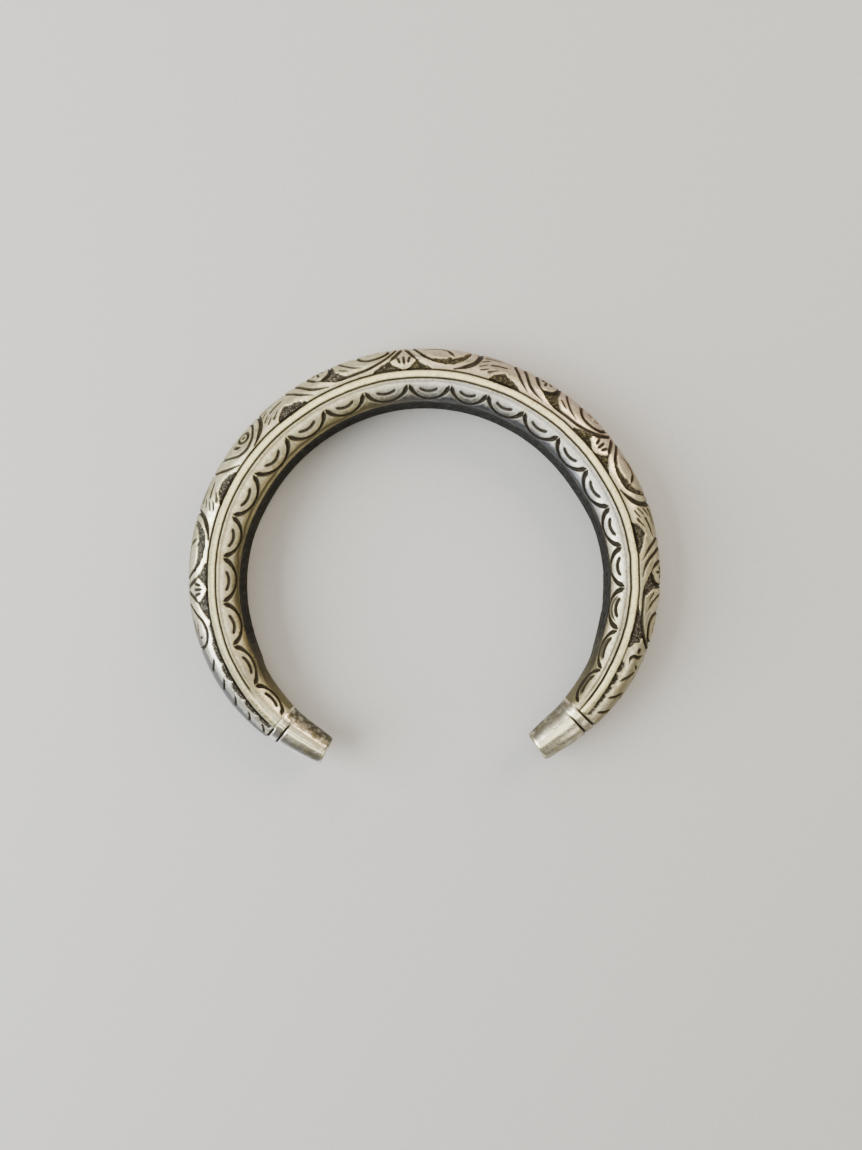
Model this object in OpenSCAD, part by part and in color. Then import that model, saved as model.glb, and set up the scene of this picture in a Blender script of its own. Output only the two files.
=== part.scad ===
// Open silver bangle of the kada kind, lying on its side: one bar bent to an open hoop, with a
// flat raised border along its upper and lower edge, a collar and a tapered cap at each end.
// Millimetres. +Z goes up through the wrist opening and +Y to the closed back, the gap between
// the caps is towards -Y, and the origin is on the floor under the middle of the whole outline.

/* [Bar] */
// Inner radius of the hoop at its back
inner_r = 28.8; // [24:0.2:34]
// Thickness of the bar at its back, seen from above
bar_w = 9.05; // [7:0.1:11]
// Height of the bar at its back, which is the height of the whole bangle
bar_h = 10.6; // [8:0.1:13]
// Height of the inner corner over the bar's middle, as a share of half the bar's height
corner_rise = 0.7; // [0.5:0.02:0.8]
// Crown of the sloping face between the border and the inner corner
face_crown = 0.6; // [0:0.1:1]

/* [Border] */
// Width of the flat raised border
border_w = 0.95; // [0.7:0.05:1.4]
// Width of the line cut beside each edge of the border
line_w = 0.36; // [0.2:0.02:0.6]
// Depth of that line
line_d = 0.2; // [0.05:0.01:0.3]

/* [Ends] */
// Angle from the back to the groove between the bar and its collar
collar_angle = 131.8; // [125:0.1:133]
// Angle from the back to the groove between the collar and the cap
cap_angle = 134.6; // [134:0.1:138]
// Angle from the back to the flat end of the cap
tip_angle = 147.8; // [141:0.1:148]
// Width of both grooves
groove_w = 0.5; // [0.3:0.05:0.8]
// Depth of both grooves
groove_d = 0.3; // [0.1:0.05:0.5]
// Radius of the rounded edge round the flat end
tip_round = 0.55; // [0.3:0.05:1]

/* [Hidden] */

// The bar's shape along the hoop, worked out between these rows by a smooth curve. Angles go
// round from the back, those above zero towards -X. The radius is what the inner side adds to
// inner_r, width and height are shares of bar_w and bar_h, and round is 0 where the section has
// its corners and 1 where it is an oval. The border is cut by hand and wanders: its column is
// the place of its middle, outwards from the middle of the bar.
ANGLE = 0;
RADIUS = 1;
WIDTH = 2;
HEIGHT = 3;
ROUND = 4;
BORDER = 5;
PATH = [
    // angle, radius, width, height, round, border
    [-148.0, 0.90, 0.55, 0.47, 1.00, 0.00],
    [-141.0, 0.50, 0.64, 0.55, 1.00, 0.00],
    [-135.0, 0.57, 0.69, 0.59, 1.00, 0.00],
    [-129.0, 0.55, 0.75, 0.68, 1.00, -0.20],
    [-119.0, 0.62, 0.83, 0.83, 0.85, -0.48],
    [-112.0, 0.68, 0.87, 0.92, 0.15, -0.62],
    [-104.0, 0.72, 0.90, 0.98, 0.00, -0.66],
    [-92.0, 0.72, 0.94, 1.00, 0.00, -0.67],
    [-76.0, 0.60, 0.98, 1.00, 0.00, -0.65],
    [-58.0, 0.05, 1.03, 1.00, 0.00, -0.63],
    [-30.0, 0.00, 1.01, 1.00, 0.00, -0.54],
    [0.0, 0.00, 1.00, 1.00, 0.00, -0.40],
    [30.0, -0.10, 1.01, 1.00, 0.00, -0.30],
    [58.0, 0.00, 1.02, 1.00, 0.00, -0.04],
    [76.0, 0.40, 0.98, 1.00, 0.00, -0.15],
    [92.0, 0.50, 0.95, 1.00, 0.00, -0.28],
    [104.0, 0.45, 0.91, 0.98, 0.00, -0.18],
    [112.0, 0.35, 0.88, 0.92, 0.15, -0.13],
    [119.0, 0.30, 0.84, 0.83, 0.85, -0.02],
    [129.0, 0.20, 0.76, 0.68, 1.00, 0.22],
    [135.0, 0.22, 0.69, 0.59, 1.00, 0.30],
    [141.0, 0.10, 0.64, 0.55, 1.00, 0.30],
    [148.0, 0.32, 0.55, 0.47, 1.00, 0.30],
];

// Steps of the mesh
arc_step = 3.3;
outer_parts = 9;
face_parts = 4;
wall_parts = 2;
cap_parts = 5;
tip_parts = 4;

// Angle of the inner corner on the oval section
corner_turn = 142;

// At full crown, how far the middle of the sloping face leans inwards, as a share of the bar's
// width, and how far it rises, as a share of half the bar's height
crown_lean = 0.05;
crown_lift = 0.17;

// Reach along the bar, in degrees to each side, over which its direction is taken
look = 0.5;

// Half the angle over which a cut groove shows at the ends
half_groove = groove_w / 2 / inner_r * 180 / PI;

// Smooth curve through one column of the path, without overshoot between rows
function rise_of(c, i) = (PATH[i + 1][c] - PATH[i][c]) / (PATH[i + 1][ANGLE] - PATH[i][ANGLE]);
function slope_at(c, i) =
    i == 0 ? rise_of(c, 0)
    : i == len(PATH) - 1 ? rise_of(c, i - 1)
    : rise_of(c, i - 1) * rise_of(c, i) <= 0 ? 0
    : 2 * rise_of(c, i - 1) * rise_of(c, i) / (rise_of(c, i - 1) + rise_of(c, i));
function row_of(a, i = 0) = i >= len(PATH) - 2 || a < PATH[i + 1][ANGLE] ? i : row_of(a, i + 1);
function along(c, a) =
    let (
        i = row_of(a),
        gap = PATH[i + 1][ANGLE] - PATH[i][ANGLE],
        t = (a - PATH[i][ANGLE]) / gap
    )
    (2 * t ^ 3 - 3 * t ^ 2 + 1) * PATH[i][c]
    + (3 * t ^ 2 - 2 * t ^ 3) * PATH[i + 1][c]
    + (t ^ 3 - 2 * t ^ 2 + t) * gap * slope_at(c, i)
    + (t ^ 3 - t ^ 2) * gap * slope_at(c, i + 1);

// Middle of the bar at an angle from the back, and the way out from the hoop there
function middle(a) =
    let (r = inner_r + along(RADIUS, a) + bar_w * along(WIDTH, a) / 2) [-r * sin(a), r * cos(a)];
function outward(a) =
    let (d = middle(a + look) - middle(a - look)) [d.y, -d.x] / norm(d);

// Upper half of the section, from the outermost point over the border to the middle of the inner
// wall. Each row is a point of the section with corners, the same point's angle on the oval, and
// how far the lines beside the border are cut down there.
function turn_at(x, w) = acos(2 * x / w);
function crowned_face(t, x0, x1, w, h) =
    let (
        mid_x = (x0 + x1) / 2 - face_crown * crown_lean * w,
        mid_z = (1 + corner_rise) / 2 + face_crown * crown_lift
    )
    [
        (1 - t) ^ 2 * x0 + 2 * t * (1 - t) * mid_x + t ^ 2 * x1,
        h / 2 * ((1 - t) ^ 2 + 2 * t * (1 - t) * mid_z + t ^ 2 * corner_rise)
    ];
function half_section(w, h, border) =
    let (
        out = border + border_w / 2,
        in = border - border_w / 2,
        lip = acos(line_w / (w / 2 - out)),
        turn_out = turn_at(out + line_w, w),
        turn_in = turn_at(in - line_w, w)
    )
    concat(
        [
            for (i = [0 : outer_parts])
                let (f = i * lip / outer_parts)
                [out + (w / 2 - out) * cos(f), h / 2 * sin(f), i * turn_out / outer_parts, 0]
        ],
        [
            for (p = [[out + line_w / 2, line_d], [out, 0], [in, 0], [in - line_w / 2, line_d]])
                [p[0], h / 2, turn_at(p[0], w), p[1]]
        ],
        [
            for (i = [0 : face_parts])
                let (t = i / face_parts, p = crowned_face(t, in - line_w, -w / 2, w, h))
                [p.x, p.y, turn_in + t * (corner_turn - turn_in), 0]
        ],
        [
            for (i = [1 : wall_parts])
                let (t = i / wall_parts)
                [-w / 2, h / 2 * corner_rise * (1 - t), corner_turn + t * (180 - corner_turn), 0]
        ]
    );

// Points of that half, with the four of the border and the first ones of the outer and the
// sloping face, and points of the whole section, whose halves share both ends
border_points = 4;
upper_points = outer_parts + 1 + border_points + face_parts + 1 + wall_parts;
ring_points = 2 * upper_points - 2;

// Whole section at an angle, shrunk by a cut that is measured inwards from its surface. The lines
// beside the border stop at the collar.
function section(a, cut) =
    let (
        w = bar_w * along(WIDTH, a),
        h = bar_h * along(HEIGHT, a),
        k = along(ROUND, a),
        lined = abs(a) < collar_angle ? 1 : 0,
        upper = [
            for (p = half_section(w, h, along(BORDER, a)))
                [
                    p[0] * (1 - k) + k * w / 2 * cos(p[2]),
                    p[1] * (1 - k) + k * h / 2 * sin(p[2]) - lined * p[3]
                ]
        ],
        whole = concat(upper, [for (i = [upper_points - 2 : -1 : 1]) [upper[i].x, -upper[i].y]])
    )
    [for (p = whole) [p.x * (1 - 2 * cut / w), p.y * (1 - 2 * cut / h)]];

// Every ring of the mesh as its angle and its cut
function groove(a) = [[a - half_groove, 0], [a, groove_d], [a + half_groove, 0]];
bar_reach = collar_angle - half_groove - 1;
bar_rings = 2 * round(bar_reach / arc_step);
round_turn = tip_round / inner_r * 180 / PI;
cap_start = cap_angle + half_groove;
cap_end = tip_angle - round_turn;
end_rings = concat(
    groove(collar_angle),
    groove(cap_angle),
    [for (i = [1 : cap_parts]) [cap_start + i * (cap_end - cap_start) / cap_parts, 0]],
    [
        for (i = [1 : tip_parts])
            let (t = 90 * i / tip_parts)
            [cap_end + round_turn * sin(t), tip_round * (1 - cos(t))]
    ]
);
last_end = len(end_rings) - 1;
rings = concat(
    [for (i = [last_end : -1 : 0]) [-end_rings[i][0], end_rings[i][1]]],
    [for (i = [0 : bar_rings]) [bar_reach * (2 * i / bar_rings - 1), 0]],
    end_rings
);

// Points of the mesh, ring after ring, before they are centred on the origin
raw = [
    for (r = rings)
        let (c = middle(r[0]), n = outward(r[0]))
        for (p = section(r[0], r[1]))
            [c.x + n.x * p.x, c.y + n.y * p.x, bar_h / 2 + p.y]
];
xs = [for (p = raw) p.x];
ys = [for (p = raw) p.y];
centre = [(min(xs) + max(xs)) / 2, (min(ys) + max(ys)) / 2, 0];

// One solid, swept ring by ring and closed by the flat ends of its caps
module bangle() {
    color([0.78, 0.75, 0.68])
        polyhedron(
            points = [for (p = raw) p - centre],
            faces = concat(
                [[for (j = [ring_points - 1 : -1 : 0]) j]],
                [
                    for (i = [0 : len(rings) - 2], j = [0 : ring_points - 1])
                        let (
                            a = i * ring_points + j,
                            b = i * ring_points + (j + 1) % ring_points
                        )
                        each [[a, b, a + ring_points], [b, b + ring_points, a + ring_points]]
                ],
                [[for (j = [0 : ring_points - 1]) (len(rings) - 1) * ring_points + j]]
            ),
            convexity = 4
        );
}

bangle();
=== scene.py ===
"""Open silver bangle of the kada kind, lying on its side: the engraved bar, its plain caps and the
stage."""

import math

import bmesh
import bpy
import numpy as np
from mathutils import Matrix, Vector


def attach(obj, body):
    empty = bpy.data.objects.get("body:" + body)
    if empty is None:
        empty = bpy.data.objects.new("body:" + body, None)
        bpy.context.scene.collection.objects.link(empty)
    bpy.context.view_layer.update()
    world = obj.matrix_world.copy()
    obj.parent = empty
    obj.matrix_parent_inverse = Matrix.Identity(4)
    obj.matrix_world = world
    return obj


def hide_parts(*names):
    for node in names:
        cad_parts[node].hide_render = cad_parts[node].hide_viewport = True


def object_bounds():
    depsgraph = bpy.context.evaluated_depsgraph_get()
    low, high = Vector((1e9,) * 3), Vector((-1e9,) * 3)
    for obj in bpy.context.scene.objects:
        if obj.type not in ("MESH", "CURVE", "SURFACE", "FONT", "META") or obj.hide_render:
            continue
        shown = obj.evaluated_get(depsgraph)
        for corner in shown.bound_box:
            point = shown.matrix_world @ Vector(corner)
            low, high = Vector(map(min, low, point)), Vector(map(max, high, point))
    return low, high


bl_info = {
    "name": "Kada Bangle",
    "version": (1, 0, 0),
    "blender": (4, 5, 0),
    "location": "3D View > Sidebar > Kada",
    "description": "Builds the engraved silver bar, its caps and a plain stage round the CAD frame",
    "category": "Object",
}

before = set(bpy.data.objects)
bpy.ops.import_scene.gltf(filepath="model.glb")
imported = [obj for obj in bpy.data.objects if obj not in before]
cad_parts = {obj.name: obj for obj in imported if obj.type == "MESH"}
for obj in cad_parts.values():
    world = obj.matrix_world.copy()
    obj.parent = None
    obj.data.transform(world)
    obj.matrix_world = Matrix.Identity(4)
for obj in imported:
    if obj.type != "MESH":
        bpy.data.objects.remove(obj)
cad_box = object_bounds()

MM = 0.001

# The bar's shape along the hoop, as in the CAD source: angle from the back, what the inner side
# adds to the inner radius, width and height as shares, roundness, and the place of the border.
PATH = np.array([
    [-148.0, 0.90, 0.55, 0.47, 1.00, 0.00],
    [-141.0, 0.50, 0.64, 0.55, 1.00, 0.00],
    [-135.0, 0.57, 0.69, 0.59, 1.00, 0.00],
    [-129.0, 0.55, 0.75, 0.68, 1.00, -0.20],
    [-119.0, 0.62, 0.83, 0.83, 0.85, -0.48],
    [-112.0, 0.68, 0.87, 0.92, 0.15, -0.62],
    [-104.0, 0.72, 0.90, 0.98, 0.00, -0.66],
    [-92.0, 0.72, 0.94, 1.00, 0.00, -0.67],
    [-76.0, 0.60, 0.98, 1.00, 0.00, -0.65],
    [-58.0, 0.05, 1.03, 1.00, 0.00, -0.63],
    [-30.0, 0.00, 1.01, 1.00, 0.00, -0.54],
    [0.0, 0.00, 1.00, 1.00, 0.00, -0.40],
    [30.0, -0.10, 1.01, 1.00, 0.00, -0.30],
    [58.0, 0.00, 1.02, 1.00, 0.00, -0.04],
    [76.0, 0.40, 0.98, 1.00, 0.00, -0.15],
    [92.0, 0.50, 0.95, 1.00, 0.00, -0.28],
    [104.0, 0.45, 0.91, 0.98, 0.00, -0.18],
    [112.0, 0.35, 0.88, 0.92, 0.15, -0.13],
    [119.0, 0.30, 0.84, 0.83, 0.85, -0.02],
    [129.0, 0.20, 0.76, 0.68, 1.00, 0.22],
    [135.0, 0.22, 0.69, 0.59, 1.00, 0.30],
    [141.0, 0.10, 0.64, 0.55, 1.00, 0.30],
    [148.0, 0.32, 0.55, 0.47, 1.00, 0.30],
])
RADIUS, WIDTH, HEIGHT, ROUND, BORDER = 1, 2, 3, 4, 5
# Crown of the sloping face, angle of the inner corner on the oval section, and reach in degrees
# over which the bar's direction is taken, as in the CAD source
CROWN_LEAN, CROWN_LIFT = 0.05, 0.17
CORNER_TURN = 142.0
LOOK = 0.5

# Middle of the hoop in the frame, in millimetres
HOOP_X, HOOP_Y = -0.072, -4.366

# Columns of the mesh on the upper half of the section, and where its parts begin
OUTER_COLUMNS = 62
LINE_COLUMNS = 4
BORDER_COLUMNS = 8
FACE_COLUMNS = 32
WALL_COLUMNS = 26
BORDER_START = OUTER_COLUMNS + LINE_COLUMNS
INNER_LINE_START = BORDER_START + BORDER_COLUMNS
FACE_START = INNER_LINE_START + LINE_COLUMNS
CORNER = FACE_START + FACE_COLUMNS

# A degree round the hoop in millimetres: at the middle of the outer face, about the border, and
# at its shortest
OUTER_DEGREE, BORDER_DEGREE, LEAST_DEGREE = 0.655, 0.62, 0.5
# Distance from the border up to the middle of the outer face, in millimetres
EQUATOR = 7.31
# Share of a collar groove that is cut everywhere round the section
LEAST_GROOVE = 0.12

# The graver's cuts in millimetres: half width of a cut by its charted width and at the least, how
# far its dark edge is soft, and how ragged and how soft the edge of a punched ground is. The
# edges of the border are worn down by so much.
CUT_HALF, CUT_LEAST, CUT_EDGE = 0.62, 0.08, 0.22
RAGGED, GROUND_EDGE = 0.16, 0.2
BORDER_WEAR = 0.035
# What the hand leaves to chance: the slip of a stroke in degrees, the wander of the border, as
# rings that it changes over and millimetres, and how much the lines beside it vary. Then the
# depth of the dents all over the bar and the caps, in millimetres.
SLIP = 0.05
WANDER = ((28, 0.025), (9, 0.012))
LINE_RINGS, LINE_CHANGE = 12, 0.12
BAR_DENT, CAP_DENT = 0.022, 0.035
# Reach in degrees over which the cuts run out before the collar
RUN_OUT = 1.2
# Step of the rings on a cap, in degrees, and how many rings round its tip
CAP_STEP, TIP_RINGS = 0.25, 9

# One repeat of the outer band, from one bud to the next: degrees round the hoop to the right of
# the bud, and millimetres up the outer face from the border. The outer face is charted to its
# middle, and its lower half mirrors it. A stroke is its width and its line.
BUD_GROUNDS = [
    [(-8.4, -0.1), (-8.3, 0.15), (-6.2, 0.8), (-3.6, 1.65), (-3.2, 0.95), (-1.2, 0.1),
     (-0.7, -0.2)],
    [(0.6, -0.2), (1.6, 0.3), (3.0, 1.1), (3.4, 1.7), (4.2, 1.0), (7.1, 0.1), (7.1, -0.1)],
]
BUD_STROKES = [
    (0.3, [(-1.6, 2.3), (-1.05, 1.0)]),
    (0.3, [(0.0, 2.5), (0.0, 0.75)]),
    (0.3, [(1.6, 2.3), (1.05, 1.0)]),
    (0.48, [(-3.6, 1.6), (-2.0, 2.6), (-0.8, 3.95), (-0.4, 5.0)]),
    (0.48, [(3.2, 1.6), (2.0, 2.7), (1.0, 3.95), (0.5, 5.0)]),
]
REPEAT_GROUNDS = [
    # crescent under the long leaf
    [(4.4, 3.1), (5.0, 2.4), (6.4, 1.65), (8.3, 1.15), (10.9, 0.95), (13.1, 1.15), (14.8, 1.85),
     (16.2, 2.95), (16.9, 4.5), (15.9, 4.4), (15.1, 3.25), (13.9, 2.65), (12.5, 2.15), (11.5, 2.5),
     (10.9, 2.0), (9.2, 1.85), (7.0, 1.95), (5.3, 2.8)],
    # half ellipse on the border
    [(22.8, -0.3), (22.8, 0.1), (23.4, 0.65), (25.1, 1.4), (26.2, 1.75), (27.1, 1.35),
     (29.2, 0.85), (31.0, 0.1), (31.0, -0.1), (27.0, -0.36)],
    # wedge between the oval bud and the last leaf
    [(35.6, 2.35), (36.2, 2.15), (38.1, 1.3), (39.9, 0.75), (42.4, 0.65), (42.9, 0.95),
     (41.8, 1.65), (40.7, 2.5), (40.5, 4.4), (40.3, 6.0), (39.9, 6.0), (39.6, 4.2), (39.2, 3.0),
     (38.2, 2.5)],
]
REPEAT_STROKES = [
    # long leaf
    (0.36, [(2.0, 7.4), (2.2, 5.8), (2.8, 4.5), (4.2, 3.0), (5.6, 2.0), (7.2, 1.75)]),
    (0.34, [(16.9, 7.4), (17.0, 5.6), (16.7, 4.2)]),
    (0.3, [(11.0, 4.5), (11.7, 3.6), (12.8, 2.6)]),
    # broad groove
    (0.52, [(18.6, 7.4), (18.9, 5.6), (19.0, 4.4), (19.0, 3.5), (18.3, 2.2), (17.0, 1.3),
            (15.0, 0.6), (13.0, 0.2)]),
    # hatched leaf
    (0.12, [(19.3, 1.55), (20.6, 2.1), (21.6, 2.6)]),
    (0.12, [(19.5, 0.95), (20.8, 1.3), (22.0, 1.8)]),
    (0.14, [(19.6, 2.7), (20.7, 3.1), (21.8, 3.6)]),
    (0.12, [(21.7, 1.05), (23.2, 1.45), (24.6, 2.1)]),
    (0.08, [(21.7, 0.8), (23.2, 1.15)]),
    (0.26, [(22.0, 2.5), (24.0, 2.9), (27.0, 3.25)]),
    (0.2, [(20.1, 3.9), (22.0, 4.3), (25.0, 4.6)]),
    (0.2, [(20.3, 4.9), (22.2, 5.2), (25.6, 5.4)]),
    (0.2, [(20.3, 5.9), (22.6, 6.2), (26.0, 6.3)]),
    (0.2, [(20.3, 6.9), (22.6, 7.1), (26.4, 7.2)]),
    # two parallels
    (0.34, [(27.5, 7.4), (27.6, 5.6), (28.1, 4.2), (29.2, 2.95), (30.7, 1.7), (33.2, 0.45)]),
    (0.36, [(29.9, 7.4), (30.1, 5.7), (30.7, 4.4), (31.7, 3.0), (33.1, 1.75), (35.0, 0.95),
            (37.8, 0.42)]),
    # oval bud
    (0.42, [(33.0, 7.4), (33.1, 6.0), (33.7, 4.6), (34.3, 3.5), (35.3, 2.6), (36.6, 2.2)]),
    (0.3, [(36.6, 2.2), (38.1, 2.5), (39.3, 3.2), (39.7, 4.4), (39.8, 6.0), (39.8, 7.4)]),
    (0.24, [(36.5, 3.4), (36.5, 5.2)]),
    (0.24, [(35.2, 4.4), (36.0, 5.6)]),
    (0.24, [(37.9, 4.4), (37.1, 5.6)]),
    # last leaf
    (0.3, [(39.9, 0.72), (42.4, 0.65), (45.8, 0.7), (48.4, 0.85), (51.0, 1.3), (53.3, 2.05),
           (55.0, 3.0), (56.1, 4.2), (56.6, 5.6), (56.7, 7.4)]),
    (0.26, [(42.1, 5.6), (42.7, 4.0), (43.9, 2.9), (45.5, 2.05), (47.5, 1.55)]),
    (0.18, [(41.7, 2.7), (42.8, 2.2), (43.9, 1.8)]),
    (0.4, [(46.5, 7.4), (46.5, 5.6), (46.9, 4.4), (47.7, 3.3), (49.3, 2.7), (51.1, 2.7),
           (52.8, 3.0), (54.2, 3.7), (54.7, 5.0), (54.8, 7.4)]),
]
# How many strokes draw the long leaf, and how many stand before the second parallel
LEAF_STROKES, FIRST_STROKES = 3, 15
# Buds and repeats: degrees from the back, and how far the chart is stretched there
LEFT_BUD, RING_BUD = 89.5, 62.1
BUDS = ((LEFT_BUD, 0.93), (3.1, 1.0), (-54.3, 0.98))
REPEATS = ((RING_BUD, 1.015), (3.1, 1.01), (-54.3, 0.96))
# Edge of the long leaf. Round the middle of the outer face stand the rosette in the long leaf, as
# its place, size and petals, and the veined leaf in the last leaf, as its place and half sizes.
LEAF_EDGE = [(12.8, 2.6), (11.8, 3.6), (10.9, 4.3), (9.2, 4.7), (7.0, 4.6), (5.2, 4.1)]
ROSETTE = (9.5, 1.75, 8)
VEINED_LEAF = (50.6, 1.35, 2.9)
# What stands in place of the long leaf after the ring bud: the ring flower's rosette and its line.
# What is next to it gives way: how far, where, and over what reach.
RING_ROSETTE = (11.2, 1.575, 8)
GIVE_WAY = (0.75, 24.5, 5.0)
RING_LINE = [
    (5.8, 7.4), (5.6, 5.6), (5.8, 3.7), (7.2, 2.2), (8.7, 1.2), (11.0, 0.8), (13.3, 1.1),
    (14.9, 1.7), (16.3, 2.95), (16.7, 4.2), (16.8, 5.8), (16.7, 7.4)]

# All that follows is charted in degrees from the back. After the left bud the half ellipse is
# flatter and the crescent lies nearer the border.
LEFT_GROUNDS = [
    [(85.3, 2.9), (84.6, 2.0), (83.0, 1.25), (81.0, 0.85), (78.6, 0.65), (76.4, 0.8), (74.6, 1.4),
     (73.2, 2.6), (72.4, 4.3), (73.4, 4.3), (74.4, 3.1), (75.8, 2.45), (77.2, 2.05), (78.2, 2.35),
     (78.8, 1.95), (80.5, 1.85), (82.6, 1.95), (84.4, 2.6)],
    [(66.8, -0.3), (66.4, 0.1), (65.2, 0.45), (64.6, 0.95), (63.2, 1.15), (61.8, 1.25),
     (60.2, 1.1), (58.8, 0.6), (57.6, 0.0), (57.6, -0.2)],
]
# The hoop's left and right ends
RIGHT_GROUND = [
    (-98.2, -0.1), (-101.5, 0.7), (-105.1, 1.6), (-105.8, 2.0), (-106.6, 1.6), (-107.4, 1.7),
    (-108.0, 0.8), (-109.4, 0.1), (-109.2, -0.2), (-103.0, -0.25)]
END_STROKES = [
    (0.34, [(104.2, 7.0), (104.2, 4.6), (104.0, 2.8), (103.6, 1.95), (102.4, 1.25), (100.1, 0.9),
            (97.6, 1.3), (95.5, 2.45), (93.6, 3.7), (92.6, 5.4), (92.3, 7.4)]),
    (0.26, [(101.5, 2.9), (101.5, 2.2)]),
    (0.2, [(100.9, 3.1), (99.4, 2.9), (97.7, 2.6)]),
    (0.3, [(101.0, 4.4), (98.4, 3.8), (96.4, 3.9)]),
    (0.3, [(101.4, 5.6), (98.4, 5.0), (95.6, 5.1)]),
    (0.3, [(101.4, 6.8), (98.4, 6.2), (95.2, 6.3)]),
    (0.5, [(-105.9, 1.85), (-107.3, 3.1), (-108.1, 4.0), (-108.6, 5.4)]),
    (0.42, [(-113.1, 1.15), (-112.1, 1.0), (-111.25, 1.5), (-111.2, 2.4), (-110.4, 3.5)]),
    (0.22, [(-114.1, 3.5), (-113.2, 2.6)]),
    (0.5, [(-109.2, 2.1), (-109.5, 2.12), (-109.8, 2.1)]),
]
# Scale cuts near the ends: upper end, lower end
SCALES = [
    (130.1, 1.8, 129.1, 0.95), (125.4, 2.3, 124.3, 1.2), (120.3, 2.65, 119.0, 1.45),
    (115.5, 2.85, 113.7, 1.45), (110.1, 2.95, 108.0, 1.5),
    (-115.1, 3.1, -118.2, 1.3), (-121.0, 3.2, -123.6, 1.1), (-126.4, 3.2, -128.3, 1.15)]
# Dark blots along the border near the ends: from, to, top. Their outline is in shares of these.
BLOTS = [
    (98.6, 102.8, 0.2), (102.9, 109.6, 0.6), (109.8, 115.0, 0.7), (115.2, 120.9, 0.75),
    (121.2, 126.3, 0.6), (126.6, 131.3, 0.55),
    (-113.7, -116.8, 0.55), (-117.4, -120.7, 0.6), (-121.0, -123.5, 0.5), (-123.7, -126.5, 0.45),
    (-126.6, -128.2, 0.35), (-128.4, -130.8, 0.35)]
BLOT_OUTLINE = [
    (0.0, -0.3), (0.02, 0.4), (0.16, 0.9), (0.36, 1.0), (0.5, 0.82), (0.62, 0.95), (0.82, 0.75),
    (0.97, 0.3), (1.0, -0.3)]
# Where the scallops of the inner face meet
CUSPS = [
    131.3, 119.3, 106.3, 93.55, 80.55, 68.4, 55.3, 41.05, 27.9, 15.45, 2.45, -9.75, -20.85, -32.6,
    -44.8, -57.15, -69.6, -81.55, -93.35, -105.85, -118.4, -130.3]

# What changes round the hoop, as degrees from the back and a value: how far the lines outside and
# inside the border are cut
OUTER_LINE = [(-131, 0.5), (-127, 0.85), (-88, 1), (128, 1), (131, 0.4)]
INNER_LINE = [(-131, 0.5), (-127, 1), (119, 1), (123, 0.15), (131, 0.1)]
# Soot and painted shade left beside the cuts of the outer band, by the angle round the hoop
CLEAN = [
    (-131, 0.4), (-114, 0.45), (-100, 0.55), (-88, 0.6), (-70, 0.9), (-45, 0.9), (-13, 0.8),
    (0, 0.55), (39, 0.55), (60, 0.9), (100, 0.9), (112, 0.5), (131, 0.4)]
# Painted shade by the angle round the hoop: low on the inner face towards its corner, all over
# the inner face, and far out on the outer face towards its silhouette
LOW_FACE_SHADE = [
    (-130, 1.2), (-90, 1.2), (-60, 1.2), (-40, 1.15), (-10, 1.05), (10, 1.05), (60, 1.15),
    (95, 1.15), (108, 1.2), (130, 1.2)]
FACE_SHADE = [
    (-130, 1.0), (-90, 0.76), (-60, 0.55), (-40, 0.2), (-10, 0.15), (10, 0.2), (60, 0.22),
    (130, 0.2)]
FAR_OUT_SHADE = [
    (-130, 1.0), (-112, 0.85), (-95, 0.75), (-75, 0.88), (-20, 0.82), (15, 0.55), (50, 0.6),
    (68, 0.85), (90, 0.7), (103, 0.95), (130, 1.0)]
# Painted shade of the inner wall, with some tarnish, by the angle round the hoop; and warmth of
# the silver on both sides of the border, which picks tarnish colours and a painted reflected tint
WALL_SHADE = [(-128, 0.55), (-117, 0.85), (-106, 1.0), (106, 1.0), (117, 0.8), (128, 0.45)]
OUTER_WARMTH = [
    (-130, 0.55), (-100, 0.5), (-70, 0.62), (-55, 0.85), (-10, 0.9), (10, 0.6), (60, 0.45),
    (95, 0.3), (110, 0.1)]
INNER_WARMTH = [
    (-120, 0.38), (-85, 0.3), (-60, 0.1), (-10, 0.05), (5, 0.2), (20, 0.45), (60, 0.52)]
# Painted reflections across each cap, from its inner side to its outer side: place, painted
# shade in dark bands with some tarnish, and painted highlight
LEFT_CAP = [
    (-1.0, 1.0, 0.0), (-0.6, 0.95, 0.0), (-0.5, 0.8, 0.1), (-0.46, 0.0, 0.8), (-0.42, 0.45, 0.2),
    (-0.25, 0.4, 0.2), (-0.2, 0.55, 0.0), (-0.15, 0.1, 0.5), (0.08, 0.0, 0.8), (0.18, 0.55, 0.1),
    (0.32, 0.8, 0.0), (0.5, 0.7, 0.0), (0.62, 0.15, 0.5), (0.75, 0.0, 1.0), (0.93, 0.0, 0.9),
    (1.0, 0.4, 0.2)]
RIGHT_CAP = [
    (-1.0, 0.95, 0.0), (-0.75, 0.75, 0.0), (-0.5, 0.5, 0.1), (-0.36, 0.1, 0.5), (-0.15, 0.0, 1.0),
    (0.08, 0.0, 0.9), (0.22, 0.25, 0.3), (0.36, 0.05, 0.6), (0.5, 0.25, 0.3), (0.7, 0.6, 0.0),
    (1.0, 0.85, 0.0)]

# Colours of the painted highlight streaks on the caps: cool, and the cream mixed into the silver
COOL_SHINE, CREAM_SHINE = (0.95, 0.95, 0.97, 1.0), (0.93, 0.90, 0.80, 1.0)

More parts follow.
